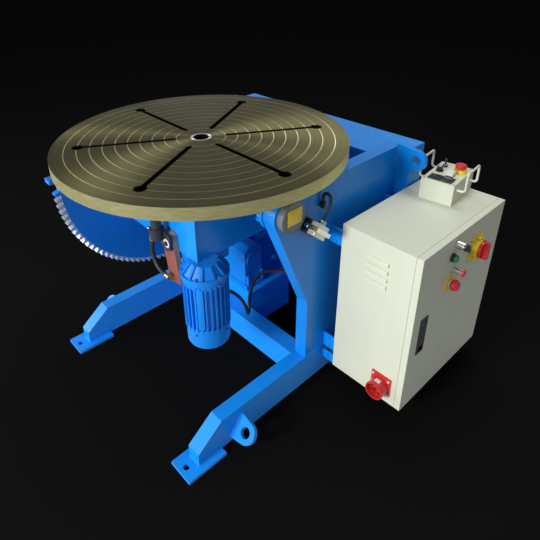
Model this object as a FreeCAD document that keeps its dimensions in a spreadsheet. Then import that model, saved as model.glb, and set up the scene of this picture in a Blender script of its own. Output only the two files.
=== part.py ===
import FreeCAD, Part
import math
import os

import Sketcher
from FreeCAD import Placement, Rotation, Vector

# Welding positioner: a tilting and turning table on a welded stand, with its control cabinet.
# X runs across the machine, Y to its back and Z up. The origin lies on the floor in the middle of
# the four anchor holes. The carriage tilts about an axis along X and carries the table, which
# turns about its spindle.

# The driving sizes, in millimetres and degrees.
SIZES = {
    # stand
    "leg_inner_x": 357, "leg_width": 53, "leg_top": 140, "leg_nose_top": 64, "leg_end_y": 541,
    "leg_bevel_y": -440, "plate_wall": 8, "foot_thickness": 12, "foot_width": 100,
    "foot_length": 155, "anchor_y": 574, "anchor_edge": 25, "anchor_radius": 11,
    "beam_front_y": -43, "beam_depth": 66, "beam_top": 123, "rear_beam_y": 455,
    "rim_inner_x": 360, "rim_outer_x": 410, "web_thickness": 10, "rim_thickness": 10,
    "knee_y": -34, "knee_height": 397, "head_radius": 61, "frame_rear_y": 445,
    "post_outer_x": 460, "post_depth": 86, "deck_front_y": 313, "deck_thickness": 12,
    "panel_thickness": 8,
    # lifting ears
    "ear_thickness": 16, "ear_radius": 38, "ear_hole_radius": 19, "front_ear_reach": 46,
    "front_ear_y": -367, "front_ear_height": 62, "front_ear_lean": 50, "rear_ear_reach": 80,
    "rear_ear_height": 822,
    # table and spindle
    "table_y": -145, "table_radius": 500, "table_thickness": 40, "table_rise": 144.5,
    "slot_width": 18, "slot_neck": 16, "slot_groove_width": 34, "slot_groove_depth": 14,
    "slot_inner": 92, "slot_outer": 410, "slot_eye_radius": 20, "slot_angle": 58.4,
    "ring_first": 85, "ring_step": 41, "ring_width": 2.4, "ring_depth": 1.2,
    "centre_bore": 27, "spindle_bore": 20, "spindle_flange_radius": 130, "spindle_flange": 18,
    "spindle_radius": 45, "running_clearance": 0.05,
    # carriage
    "tilt_y": -139, "tilt_height": 795, "box_left": 243, "box_right": 172, "box_half_depth": 175,
    "box_drop": 205, "box_rise": 67, "box_wall": 14, "bearing_radius": 75,
    "bearing_flange_radius": 100, "bearing_flange": 10, "trunnion_radius": 35,
    "trunnion_flange_radius": 64, "trunnion_flange": 16, "sector_hub": 105,
    # tilting gear pair
    "module": 8, "sector_teeth": 111, "pinion_teeth": 17, "sector_thickness": 25,
    "mesh_angle": 295, "backlash": 0.5, "sector_start": 180, "sector_end": 302,
    "sector_bar": 34, "pinion_width": 32, "pinion_shaft_radius": 24,
    # turning gear pair
    "slew_module": 5, "slew_teeth": 40, "slew_pinion_teeth": 16, "slew_gear_width": 40,
    "lower_bearing": 34, "gear_clearance": 12, "slew_direction": -40.8,
    # turning drive
    "motor_offset": 226, "motor_radius": 71, "fin_height": 10, "fin_width": 5, "fin_count": 28,
    "motor_flange_radius": 79, "motor_flange": 10, "slew_motor_length": 200,
    "cowl_length": 75, "cowl_radius": 77, "bell_drop": 52, "bell_radius": 85, "bell_rim": 18,
    "bell_neck": 48, "bell_ribs": 12, "bell_rib_width": 7, "reducer_reach": 52, "pinion_shaft_depth": 26,
    "reducer_inset": 4, "terminal_drop": 4, "terminal_height": 68, "terminal_turn": 45,
    # tilting drive
    "motor_length": 165,
    "bed_left": 235, "bed_right": 50, "bed_front_y": 23, "bed_rear_y": 270, "bed_top": 200,
    "bed_plate": 12, "gearbox_left": 200, "gearbox_right": 8, "gearbox_front_y": 26,
    "gearbox_rear_y": 128, "gearbox_crown": 69, "gearbox_foot": 16, "worm_left": 170,
    "worm_right": 40, "worm_rear_y": 235, "worm_top": 384, "worm_rib": 9, "worm_rib_width": 7,
    "worm_rib_gap": 17, "tilt_motor_x": -104, "tilt_motor_height": 300,
    # bearings of the tilt axis
    "housing_radius": 50.6, "housing_flange_radius": 66, "housing_flange": 12,
    "housing_length": 40, "cover_radius": 52, "cover_depth": 22, "bolt_head": 9,
    # cabinet
    "cabinet_left": 465, "cabinet_right": 756, "cabinet_front_y": 64, "cabinet_rear_y": 595,
    "cabinet_bottom": 78, "cabinet_top": 705, "sheet": 2, "leaf_depth": 22, "leaf_gap": 1,
    "rebate": 14, "louvre_width": 82, "louvre_height": 16, "louvre_pitch": 29, "louvre_count": 4,
    "louvre_x": 566, "louvre_top": 641, "louvre_hood": 7, "louvre_slope": 6, "hinge_radius": 6,
    "hinge_pin_radius": 3, "hinge_length": 60, "hinge_inset": 95,
    # controls on the door
    "device_radius": 15, "device_ring": 4, "control_y": 268, "switch_y": 410,
    "switch_drop": 108, "selector_drop": 29, "start_drop": 76, "stop_drop": 129,
    "estop_drop": 185, "latch_y": 132, "latch_height": 379, "latch_width": 42,
    "latch_length": 146,
    # mains inlet
    "inlet_x": 676, "inlet_height": 152, "inlet_plate": 76, "inlet_radius": 33,
    "inlet_length": 46,
    # hand box on the cabinet
    "pendant_turn": 6, "pendant_x": 534, "pendant_y": 402, "pendant_width": 116,
    "pendant_depth": 179, "pendant_height": 77, "guard_radius": 4, "guard_reach": 30,
    "guard_rise": 66, "guard_length": 105, "guard_start": 24, "guard_start_left": 58,
    # earth contact
    "board_width": 66, "board_length": 200, "board_thickness": 20, "board_lean": 9,
    "board_x": 43, "board_drop": 34, "post_radius": 19, "post_x": 4, "post_y": -362,
    "post_rise": 50, "brush_radius": 12, "brush_gap": 0.3,
    # plug on the frame
    "plug_y": -47, "plug_height": 720, "plug_turn": 50, "lead_radius": 8,
    "cable_radius": 7, "plug_cable_radius": 5.5, "plug_length": 92, "plug_width": 50,
    # free gap between faces that move past each other
    "gap": 0.3,
}

doc = FreeCAD.newDocument("welding_positioner")
sheet = doc.addObject("Spreadsheet::Sheet", "Sizes")
for row, (alias, value) in enumerate(SIZES.items(), start=1):
    sheet.set("A%d" % row, alias)
    sheet.set("B%d" % row, str(value))
    sheet.setAlias("B%d" % row, alias)
doc.recompute()


class Dim:
    """A size with its number and the sheet expression that gives it."""

    def __init__(self, number, text):
        self.number = float(number)
        self.text = text

    def __float__(self):
        return self.number

    def __add__(self, other):
        other = dim(other)
        return Dim(self.number + other.number, "(%s + %s)" % (self.text, other.text))

    def __sub__(self, other):
        other = dim(other)
        return Dim(self.number - other.number, "(%s - %s)" % (self.text, other.text))

    def __mul__(self, other):
        other = dim(other)
        return Dim(self.number * other.number, "(%s * %s)" % (self.text, other.text))

    def __truediv__(self, other):
        other = dim(other)
        return Dim(self.number / other.number, "(%s / %s)" % (self.text, other.text))

    def __neg__(self):
        return dim(0) - self

    def __radd__(self, other):
        return dim(other) + self

    def __rsub__(self, other):
        return dim(other) - self

    def __rmul__(self, other):
        return dim(other) * self


def dim(value):
    """The value as a Dim, for sums that mix sizes and plain numbers."""
    return value if isinstance(value, Dim) else Dim(value, repr(float(value)))


class Sheet:
    """Gives each size of the spreadsheet as an attribute."""

    def __getattr__(self, alias):
        return Dim(getattr(sheet, alias), "Sizes." + alias)


size = Sheet()

# Heights that follow the tilt axis: table, carriage box, turning gear, bell, board and brush post.
table_top = size.tilt_height + size.table_rise
box_top = size.tilt_height + size.box_rise
box_bottom = size.tilt_height - size.box_drop
slew_gear_height = box_bottom + size.box_wall + size.lower_bearing + size.gear_clearance
bell_low = box_bottom - size.bell_drop
board_height = box_bottom - size.board_drop
post_bottom = box_bottom + size.post_rise
nodes = []
counter = {}
AXIS_TURN = {"x": Rotation(Vector(0, 1, 0), 90), "y": Rotation(Vector(1, 0, 0), -90),
             "z": Rotation()}
PLANES = {"x": "YZ_Plane", "y": "XZ_Plane", "z": "XY_Plane"}


def unique(label):
    """A fresh internal name for a feature."""
    counter[label] = counter.get(label, 0) + 1
    return "%s_%d" % (label, counter[label])


def place(item, x, y, z):
    """Bind an object's position to the sheet."""
    for axis, value in zip("xyz", (x, y, z)):
        item.setExpression("Placement.Base." + axis, dim(value).text)
    return item


def box(x, y, z):
    """A block between two values along each axis."""
    item = doc.addObject("Part::Box", unique("block"))
    for name, span in zip(("Length", "Width", "Height"), (x, y, z)):
        item.setExpression(name, (dim(span[1]) - span[0]).text)
    return place(item, x[0], y[0], z[0])


def rod(axis, radius, span, a, b):
    """A cylinder along an axis between two values, with a and b on the other two axes."""
    item = doc.addObject("Part::Cylinder", unique("rod"))
    item.Placement = Placement(Vector(), AXIS_TURN[axis])
    item.setExpression("Radius", dim(radius).text)
    item.setExpression("Height", (dim(span[1]) - span[0]).text)
    order = {"x": (span[0], a, b), "y": (a, span[0], b), "z": (a, b, span[0])}[axis]
    return place(item, *order)


def cone(axis, radii, span, a, b):
    """A tapered round from radii[0] to radii[1] along an axis."""
    item = doc.addObject("Part::Cone", unique("taper"))
    item.Placement = Placement(Vector(), AXIS_TURN[axis])
    item.setExpression("Radius1", dim(radii[0]).text)
    item.setExpression("Radius2", dim(radii[1]).text)
    item.setExpression("Height", (dim(span[1]) - span[0]).text)
    order = {"x": (span[0], a, b), "y": (a, span[0], b), "z": (a, b, span[0])}[axis]
    return place(item, *order)


def fuse(*items):
    """The union of several objects."""
    item = doc.addObject("Part::MultiFuse", unique("union"))
    item.Shapes = list(items)
    return item


def cut(base, *tools):
    """The base with every tool taken away."""
    item = doc.addObject("Part::Cut", unique("cut"))
    item.Base = base
    item.Tool = tools[0] if len(tools) == 1 else fuse(*tools)
    return item


def group(*items):
    """Separate solids that share one node."""
    item = doc.addObject("Part::Compound", unique("set"))
    item.Links = list(items)
    return item


def extrude(axis, outline, span):
    """A PartDesign pad of a straight-sided outline, its corners bound to the sheet.

    The outline's corners are pairs: (y, z) for axis x, (x, z) for axis y, (x, y) for axis z.
    """
    body = doc.addObject("PartDesign::Body", unique("body"))
    sketch = body.newObject("Sketcher::SketchObject", unique("outline"))
    plane = [p for p in body.Origin.OriginFeatures if p.Role == PLANES[axis]][0]
    sketch.AttachmentSupport = [(plane, "")]
    sketch.MapMode = "FlatFace"
    offset = -dim(span[1]) if axis == "y" else dim(span[0])
    sketch.setExpression("AttachmentOffset.Base.z", offset.text)
    corners = [(dim(u), dim(v)) for u, v in outline]
    for (u, v), (p, q) in zip(corners, corners[1:] + corners[:1]):
        edge = Part.LineSegment(Vector(u.number, v.number, 0), Vector(p.number, q.number, 0))
        sketch.addGeometry(edge, False)
    for index, (u, v) in enumerate(corners):
        after = (index + 1) % len(corners)
        sketch.addConstraint(Sketcher.Constraint("Coincident", index, 2, after, 1))
    for index, (u, v) in enumerate(corners):
        for kind, value in (("DistanceX", u), ("DistanceY", v)):
            at = sketch.addConstraint(Sketcher.Constraint(kind, -1, 1, index, 1, value.number))
            sketch.setExpression("Constraints[%d]" % at, value.text)
    pad = body.newObject("PartDesign::Pad", unique("pad"))
    pad.Profile = sketch
    pad.setExpression("Length", (dim(span[1]) - span[0]).text)
    body.Tip = pad
    return body


def shape(solid):
    """An object that holds a shape worked out in code."""
    item = doc.addObject("Part::Feature", unique("solid"))
    item.Shape = solid
    return item


def node(label, item):
    """Name a finished sub-part."""
    item.Label = label
    nodes.append(item)
    return item


def turned(item, axis, angle, centre):
    """The item turned about a line through centre, as a copy worked out after a recompute."""
    doc.recompute()
    solid = item.Shape.copy()
    solid.rotate(Vector(*[float(c) for c in centre]), axis, float(angle))
    return shape(solid)


def mirrored(item):
    """The item's mirror image in the plane x = 0."""
    copy = doc.addObject("Part::Mirroring", unique("mirror"))
    copy.Source = item
    copy.Normal = Vector(1, 0, 0)
    return copy


def involute(radius, base):
    """The involute angle of a flank at a radius."""
    pressure = math.acos(min(1.0, base / radius))
    return math.tan(pressure) - pressure


def gear_outline(teeth, module, backlash, centre_tooth, first=0, last=None):
    """Points of a spur gear's teeth as (radius, angle) pairs; angles in radians.

    centre_tooth is the angle of tooth number 0. Flanks are involutes of a 20 degree gear.
    """
    pitch = teeth * module / 2.0
    base = pitch * math.cos(math.radians(20))
    tip, root = pitch + module, pitch - 1.25 * module
    low = max(base, root) + 0.01
    half = math.pi / (2 * teeth) - backlash / (2 * pitch)
    at_pitch = involute(pitch, base)
    radii = [low + (tip - low) * step / 3.0 for step in range(4)]
    points = []
    for tooth in range(first, teeth if last is None else last):
        middle = centre_tooth + 2 * math.pi * tooth / teeth
        flank = [(r, half + at_pitch - involute(r, base)) for r in radii]
        foot = flank[0][1]
        points += [(root, middle - foot)] + [(r, middle - a) for r, a in flank]
        points += [(r, middle + a) for r, a in reversed(flank)] + [(root, middle + foot)]
    return points


def toothed_disc(teeth, module, backlash, phase, thickness):
    """A spur gear blank about the Z axis, from z = 0."""
    corners = [Vector(r * math.cos(a), r * math.sin(a), 0)
               for r, a in gear_outline(teeth, module, backlash, phase)]
    wire = Part.makePolygon(corners + corners[:1])
    return Part.Face(wire).extrude(Vector(0, 0, thickness))


# ------------------------------------------------------------------ stand
def leg():
    """Boxed right-hand leg with a bevelled nose, hollow between its walls."""
    low = size.foot_thickness
    wall = size.plate_wall
    outer = [(-size.leg_end_y, low), (size.leg_end_y, low), (size.leg_end_y, size.leg_top),
             (size.leg_bevel_y, size.leg_top), (-size.leg_end_y, size.leg_nose_top)]
    inner = [(wall - size.leg_end_y, low + wall), (size.leg_end_y - wall, low + wall),
             (size.leg_end_y - wall, size.leg_top - wall), (size.leg_bevel_y, size.leg_top - wall),
             (wall - size.leg_end_y, size.leg_nose_top - wall)]
    left, right = size.leg_inner_x, size.leg_inner_x + size.leg_width
    return cut(extrude("x", outer, (left, right)),
               extrude("x", inner, (left + wall, right - wall)))


def foot_plates():
    """Four floor plates, each with one anchor hole past the end of its leg."""
    middle = size.leg_inner_x + size.leg_width / 2
    far = size.anchor_y + size.anchor_edge
    plates = []
    for side in (-1, 1):
        for end in (-1, 1):
            x = (side * middle - size.foot_width / 2, side * middle + size.foot_width / 2)
            y = (-far, size.foot_length - far) if end < 0 else (far - size.foot_length, far)
            plate = box(x, y, (0, size.foot_thickness))
            hole = rod("z", size.anchor_radius, (-1, size.foot_thickness + 1), side * middle,
                       end * size.anchor_y)
            plates.append(cut(plate, hole))
    return group(*plates)


def beam(front):
    """A hollow cross beam between the legs, its front face at the given y."""
    side, wall = size.leg_inner_x, size.plate_wall
    low = size.foot_thickness
    outer = box((-side, side), (front, front + size.beam_depth), (low, size.beam_top))
    inner = box((wall - side, side - wall), (front + wall, front + size.beam_depth - wall),
                (low + wall, size.beam_top - wall))
    return cut(outer, inner)


def frame_outline(inset):
    """Side frame's outline in (y, z), drawn inset from its outer faces."""
    knee = Vector(size.knee_y.number, size.knee_height.number, 0)
    head = Vector(size.tilt_y.number, size.tilt_height.number, 0)
    radius = size.head_radius.number - inset
    reach = (head - knee).Length
    # the sloping edge leaves the knee and touches the round head
    slope = math.atan2(head.y - knee.y, head.x - knee.x) + math.asin(size.head_radius.number / reach)
    normal = Vector(-math.sin(slope), math.cos(slope), 0)
    touch = head + normal * radius
    inner_y = knee.x + inset
    along = Vector(math.cos(slope), math.sin(slope), 0)
    # the inset slope meets the inset upright edge
    step = (inner_y - touch.x) / along.x
    corner = touch + along * step
    top = head + Vector(0, radius, 0)
    middle_angle = (slope + math.pi) / 2
    middle = head + Vector(math.cos(middle_angle), math.sin(middle_angle), 0) * radius
    low, rear = size.leg_top.number + inset, size.frame_rear_y.number - inset
    a, b, c = Vector(inner_y, low, 0), Vector(rear, low, 0), Vector(rear, top.y, 0)
    edges = [Part.LineSegment(a, b), Part.LineSegment(b, c), Part.LineSegment(c, top),
             Part.Arc(top, middle, touch), Part.LineSegment(touch, corner),
             Part.LineSegment(corner, a)]
    wire = Part.Wire([edge.toShape() for edge in edges])
    # from the drawing's own (y, z) plane to the machine's YZ plane
    wire.Placement = Placement(FreeCAD.Matrix(0, 0, 1, 0, 1, 0, 0, 0, 0, 1, 0, 0, 0, 0, 0, 1))
    return Part.Face(wire)


def side_frame():
    """Right upright: a web plate on the outside with a welded rim round its edge."""
    rim_in, rim_out = size.rim_inner_x.number, size.rim_outer_x.number
    rim = frame_outline(0).extrude(Vector(rim_out - rim_in, 0, 0))
    rim.translate(Vector(rim_in, 0, 0))
    depth = rim_out - rim_in - size.web_thickness.number
    hollow = frame_outline(size.rim_thickness.number).extrude(Vector(depth + 1, 0, 0))
    hollow.translate(Vector(rim_in - 1, 0, 0))
    shell = shape(rim.cut(hollow))
    bore = rod("x", size.trunnion_radius + 6, (rim_in, rim_out + 1), size.tilt_y,
               size.tilt_height)
    return cut(shell, bore)


def rear_post():
    """Boxed post behind the web, from the leg to the deck."""
    wall = size.plate_wall
    x = (size.rim_inner_x, size.post_outer_x)
    y = (size.frame_rear_y, size.frame_rear_y + size.post_depth)
    z = (size.leg_top, size.tilt_height + size.head_radius - size.deck_thickness)
    outer = box(x, y, z)
    inner = box((x[0] + wall, x[1] - wall), (y[0] + wall, y[1] - wall), (z[0] + wall, z[1] - wall))
    return cut(outer, inner)


def deck():
    """Rear deck plate between and over the posts."""
    top = size.tilt_height + size.head_radius
    near, far, rear = size.deck_front_y, size.frame_rear_y, size.frame_rear_y + size.post_depth
    inner, outer = size.rim_inner_x, size.post_outer_x
    outline = [(-inner, near), (inner, near), (inner, far), (outer, far), (outer, rear),
               (-outer, rear), (-outer, far), (-inner, far)]
    return extrude("z", outline, (top - size.deck_thickness, top))


def rear_panel():
    """Back plate between the posts."""
    rear = size.frame_rear_y + size.post_depth
    top = size.tilt_height + size.head_radius - size.deck_thickness
    return box((-size.rim_inner_x, size.rim_inner_x), (rear - size.panel_thickness, rear),
               (size.leg_top, top))


def ear(reach, length, thickness):
    """A lifting ear in the XY plane: a base edge on x = 0 and a round end with its hole."""
    radius, hole = size.ear_radius.number, size.ear_hole_radius.number
    a, b = Vector(0, -length / 2, 0), Vector(0, length / 2, 0)
    far_a, far_b = Vector(reach, -radius, 0), Vector(reach, radius, 0)
    tip = Vector(reach + radius, 0, 0)
    edges = [Part.LineSegment(b, a), Part.LineSegment(a, far_a), Part.Arc(far_a, tip, far_b),
             Part.LineSegment(far_b, b)]
    face = Part.Face(Part.Wire([edge.toShape() for edge in edges]))
    bore = Part.makeCylinder(hole, thickness + 2, Vector(reach, 0, -1))
    return face.extrude(Vector(0, 0, thickness)).cut(bore)


def lifting_ears():
    """Leaning ears on the outer faces of the legs, upright ears in front of the posts."""
    thickness = size.ear_thickness.number
    outer = size.leg_inner_x.number + size.leg_width.number
    front = ear(size.front_ear_reach.number, 2.4 * size.ear_radius.number, thickness)
    front.Placement = Placement(
        Vector(outer, size.front_ear_y.number, size.front_ear_height.number),
        Rotation(Vector(1, 0, 0), size.front_ear_lean.number))
    rear = ear(size.rear_ear_reach.number, 2.4 * size.ear_radius.number, thickness)
    rear.Placement = Placement(
        Vector(size.rim_outer_x.number, size.frame_rear_y.number, size.rear_ear_height.number),
        Rotation(Vector(1, 0, 0), 90))
    pair = shape(Part.makeCompound([front, rear]))
    return group(pair, mirrored(pair))


right_leg = leg()
node("leg_right", right_leg)
node("leg_left", mirrored(right_leg))
node("foot_plates", foot_plates())
node("cross_beams", group(beam(size.beam_front_y), beam(size.rear_beam_y)))
right_frame = side_frame()
node("side_frame_right", right_frame)
node("side_frame_left", mirrored(right_frame))
right_post = rear_post()
node("rear_posts", group(right_post, mirrored(right_post)))
node("rear_plates", group(deck(), rear_panel()))
node("lifting_ears", lifting_ears())

# ------------------------------------------------------------------ table
def table_plate():
    """Round table with six T-slots, each ending in an entry eye, and turned layout rings."""
    top = table_top
    low = top - size.table_thickness
    disc = rod("z", size.table_radius, (low, top), 0, size.table_y)
    bore = rod("z", size.centre_bore, (low - 1, top + 1), 0, size.table_y)
    tools = [bore]
    radius = size.ring_first.number
    while radius < size.table_radius.number - size.ring_step.number / 2:
        outer = rod("z", radius + size.ring_width / 2, (top - size.ring_depth, top + 1), 0,
                    size.table_y)
        inner = rod("z", radius - size.ring_width / 2, (top - size.ring_depth - 1, top + 2), 0,
                    size.table_y)
        tools.append(cut(outer, inner))
        radius += size.ring_step.number
    depth = size.slot_neck + size.slot_groove_depth
    neck = box((size.slot_inner, size.slot_outer), (-size.slot_width / 2, size.slot_width / 2),
               (top - depth, top + 1))
    groove = box((size.slot_inner, size.slot_outer),
                 (-size.slot_groove_width / 2, size.slot_groove_width / 2),
                 (top - depth, top - size.slot_neck))
    start = rod("z", size.slot_width / 2, (top - depth, top + 1), size.slot_inner, 0)
    eye = rod("z", size.slot_eye_radius, (top - depth, top + 1), size.slot_outer, 0)
    slot = fuse(neck, groove, start, eye)
    doc.recompute()
    for index in range(6):
        copy = slot.Shape.copy()
        copy.rotate(Vector(), Vector(0, 0, 1), size.slot_angle.number + 60 * index)
        copy.translate(Vector(0, size.table_y.number, 0))
        tools.append(shape(copy))
    return cut(disc, *tools)


def table_spindle():
    """Spindle under the table: mounting flange, shaft and the turning gear's seat."""
    top = table_top - size.table_thickness
    under = top - size.spindle_flange
    flange = rod("z", size.spindle_flange_radius, (under, top), 0, size.table_y)
    shaft = rod("z", size.spindle_radius, (box_bottom + size.box_wall + 12, top), 0,
                size.table_y)
    bore = rod("z", size.spindle_bore, (box_bottom, top + 1), 0, size.table_y)
    return cut(fuse(flange, shaft), bore)


def slew_gear():
    """Turning gear, keyed on the spindle."""
    height = slew_gear_height.number
    disc = toothed_disc(int(size.slew_teeth.number), size.slew_module.number,
                        size.backlash.number, math.radians(size.slew_direction.number),
                        size.slew_gear_width.number)
    disc.translate(Vector(0, size.table_y.number, height))
    bore = rod("z", size.spindle_radius, (height - 1, height + size.slew_gear_width + 1), 0,
               size.table_y)
    return cut(shape(disc), bore)


def slew_axis():
    """Centre of the turning pinion."""
    reach = size.slew_module * (size.slew_teeth + size.slew_pinion_teeth) / 2
    angle = math.radians(size.slew_direction.number)
    return reach * math.cos(angle), size.table_y + reach * math.sin(angle)


def motor_axis():
    """Centre of the turning motor."""
    angle = math.radians(size.slew_direction.number)
    return size.motor_offset * math.cos(angle), size.table_y + size.motor_offset * math.sin(angle)


def slew_pinion():
    """Turning pinion on the reducer's output shaft."""
    x, y = slew_axis()
    height = slew_gear_height - 4
    teeth = int(size.slew_pinion_teeth.number)
    width = size.slew_gear_width + 8
    phase = math.radians(size.slew_direction.number) + math.pi + math.pi / teeth
    disc = toothed_disc(teeth, size.slew_module.number, size.backlash.number, phase, width.number)
    disc.translate(Vector(float(x), float(y), height.number))
    shaft = rod("z", size.pinion_shaft_radius, (box_bottom - size.pinion_shaft_depth, height + 1), x, y)
    return fuse(shape(disc), shaft)


# ------------------------------------------------------------------ carriage
def carriage_box():
    """Welded box that carries the table, with bores for the spindle and the turning pinion."""
    back = size.table_y + size.box_half_depth
    front = size.table_y - size.box_half_depth
    wall = size.box_wall
    outer = box((-size.box_left, size.box_right), (front, back), (box_bottom, box_top))
    inner = box((wall - size.box_left, size.box_right - wall), (front + wall, back - wall),
                (box_bottom + wall, box_top - wall))
    top_bore = rod("z", size.bearing_radius, (box_top - wall - 1, box_top + 1), 0,
                   size.table_y)
    x, y = slew_axis()
    floor_bore = rod("z", size.pinion_shaft_radius + 8,
                     (box_bottom - 1, box_bottom + wall + 1), x, y)
    return cut(outer, inner, top_bore, floor_bore)


def spindle_bearings():
    """Upper flanged bearing in the lid and the lower one on the floor of the box."""
    bore = size.spindle_radius + size.running_clearance
    low = box_top - size.box_wall - 14
    upper = fuse(rod("z", size.bearing_radius, (low, box_top), 0, size.table_y),
                 rod("z", size.bearing_flange_radius,
                     (box_top, box_top + size.bearing_flange), 0, size.table_y))
    upper = cut(upper, rod("z", bore, (low - 1, box_top + size.bearing_flange + 1), 0,
                           size.table_y))
    floor = box_bottom + size.box_wall
    lower = rod("z", size.bearing_radius, (floor, floor + size.lower_bearing), 0, size.table_y)
    lower = cut(lower, rod("z", bore, (floor + 6, floor + size.lower_bearing + 1), 0,
                           size.table_y))
    return group(upper, lower)


def trunnion(side):
    """Flanged stub shaft of the tilt axis, on the right (1) or left (-1) wall of the box."""
    start = size.box_right if side > 0 else size.box_left + size.sector_thickness
    flange = rod("x", size.trunnion_flange_radius, (start, start + size.trunnion_flange),
                 size.tilt_y, size.tilt_height)
    taper = cone("x", (size.trunnion_radius + 22, size.trunnion_radius),
                 (start + size.trunnion_flange - 1, start + size.trunnion_flange + 26),
                 size.tilt_y, size.tilt_height)
    shaft = rod("x", size.trunnion_radius, (start, size.rim_outer_x - 2), size.tilt_y,
                size.tilt_height)
    whole = fuse(flange, taper, shaft)
    return whole if side > 0 else mirrored(whole)


def sector_gear():
    """Toothed sector of the tilt drive, with a straight bar along its top edge."""
    teeth, module = int(size.sector_teeth.number), size.module.number
    pitch_angle = 360.0 / teeth
    start, end = size.sector_start.number, size.sector_end.number
    first = math.ceil((start - size.mesh_angle.number) / pitch_angle)
    last = math.floor((end - size.mesh_angle.number) / pitch_angle) + 1
    points = gear_outline(teeth, module, size.backlash.number,
                          math.radians(size.mesh_angle.number), first, last)
    centre_y, centre_z = size.tilt_y.number, size.tilt_height.number
    bar = size.sector_bar.number
    at = [(centre_y + r * math.cos(a), centre_z + r * math.sin(a)) for r, a in points]
    nose_y = at[0][0]
    hub = size.sector_hub.number
    end_angle = math.radians(end)
    outline = [(nose_y, centre_z + bar)] + at
    outline += [(centre_y + hub * math.cos(end_angle + 0.5),
                 centre_z + hub * math.sin(end_angle + 0.5)),
                (centre_y + hub, centre_z + bar)]
    corners = [Vector(-size.box_left.number - size.sector_thickness.number, y, z)
               for y, z in outline]
    face = Part.Face(Part.makePolygon(corners + corners[:1]))
    return shape(face.extrude(Vector(size.sector_thickness.number, 0, 0)))


def sector_stop():
    """Stop block on the leading end of the sector's bar."""
    pitch = size.module * size.sector_teeth / 2
    tip = size.tilt_y - pitch - size.module
    x = (-size.box_left - size.sector_thickness - 6, -size.box_left + 6)
    block = box((x[0], x[1]), (tip - 12, tip + 34),
                (size.tilt_height + size.sector_bar, size.tilt_height + size.sector_bar + 16))
    return block


def tilt_pinion():
    """Pinion of the tilt drive on its shaft, which turns in the gearbox."""
    teeth, module = int(size.pinion_teeth.number), size.module.number
    y, z = pinion_axis()
    phase = math.radians(size.mesh_angle.number) + math.pi + math.pi / teeth
    disc = toothed_disc(teeth, module, size.backlash.number, phase, size.pinion_width.number)
    # from the XY plane to the YZ plane
    disc.Placement = Placement(FreeCAD.Matrix(0, 0, 1, 0, 1, 0, 0, 0, 0, 1, 0, 0, 0, 0, 0, 1))
    middle = -size.box_left - size.sector_thickness / 2
    start = middle - size.pinion_width / 2
    disc.translate(Vector(float(start), float(y), float(z)))
    shaft = rod("x", size.pinion_shaft_radius, (start - 8, -size.gearbox_left + 40), y, z)
    return fuse(shape(disc), shaft)


def pinion_axis():
    """Centre of the tilt pinion in (y, z)."""
    reach = size.module * (size.sector_teeth + size.pinion_teeth) / 2
    angle = math.radians(size.mesh_angle.number)
    return size.tilt_y + reach * math.cos(angle), size.tilt_height + reach * math.sin(angle)


def slew_reducer():
    """Parallel-shaft reducer under the box, with a ribbed bell that flares to the motor."""
    x, y = slew_axis()
    motor_x, motor_y = motor_axis()
    front = size.table_y - size.box_half_depth + size.reducer_inset
    rim_top = bell_low + size.bell_rim
    case = box((x - size.reducer_reach, motor_x), (front, y + size.reducer_reach),
               (rim_top - 1, box_bottom))
    rim = rod("z", size.bell_radius, (bell_low, rim_top), motor_x, motor_y)
    flare = cone("z", (size.bell_radius - 8, size.bell_neck), (rim_top - 1, box_bottom),
                 motor_x, motor_y)
    bore = rod("z", size.pinion_shaft_radius + size.running_clearance,
               (box_bottom - size.pinion_shaft_depth - 1, box_bottom + 1), x, y)
    return cut(fuse(case, rim, flare, shape(bell_ribs(rim_top))), bore)


def bell_ribs(rim_top):
    """Radial ribs down the bell's flare, three-cornered plates from its neck to its rim."""
    motor_x, motor_y = motor_axis()
    neck, edge = size.bell_neck.number - 6, size.bell_radius.number - 3
    top, half = box_bottom.number, size.bell_rib_width.number / 2
    low = rim_top.number - 1
    corners = [(neck, low), (edge, low), (edge, low + 6), (neck + 12, top), (neck, top)]
    points = [Vector(radius, -half, height) for radius, height in corners]
    plate = Part.Face(Part.makePolygon(points + points[:1])).extrude(Vector(0, 2 * half, 0))
    count = int(size.bell_ribs.number)
    ribs = []
    for index in range(count):
        rib = plate.copy()
        rib.rotate(Vector(), Vector(0, 0, 1), 360.0 * (index + 0.5) / count)
        ribs.append(rib)
    comb = Part.makeCompound(ribs)
    comb.translate(Vector(motor_x.number, motor_y.number, 0))
    return comb


def finned_motor(axis, middle_a, middle_b, span):
    """Motor frame with cooling fins along it, between two end rings."""
    core = rod(axis, size.motor_radius, span, middle_a, middle_b)
    ring = size.fin_height
    ends = [rod(axis, size.motor_radius + ring - 2, (span[0], span[0] + 14), middle_a, middle_b),
            rod(axis, size.motor_radius + ring - 2, (span[1] - 14, span[1]), middle_a, middle_b)]
    fins = []
    count = int(size.fin_count.number)
    half = size.fin_width.number / 2
    length = float(dim(span[1]) - span[0])
    reach = size.motor_radius.number
    blade = Part.makeBox(size.fin_height.number + 3, 2 * half, length,
                         Vector(reach - 3, -half, 0))
    for index in range(count):
        copy = blade.copy()
        copy.rotate(Vector(), Vector(0, 0, 1), 360.0 * index / count)
        fins.append(copy)
    comb = Part.makeCompound(fins)
    comb.Placement = Placement(Vector(), AXIS_TURN[axis])
    base = {"z": (middle_a, middle_b, span[0]), "y": (middle_a, span[0], middle_b)}[axis]
    comb.translate(Vector(*[float(value) for value in base]))
    return fuse(core, *ends, shape(comb))


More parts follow.
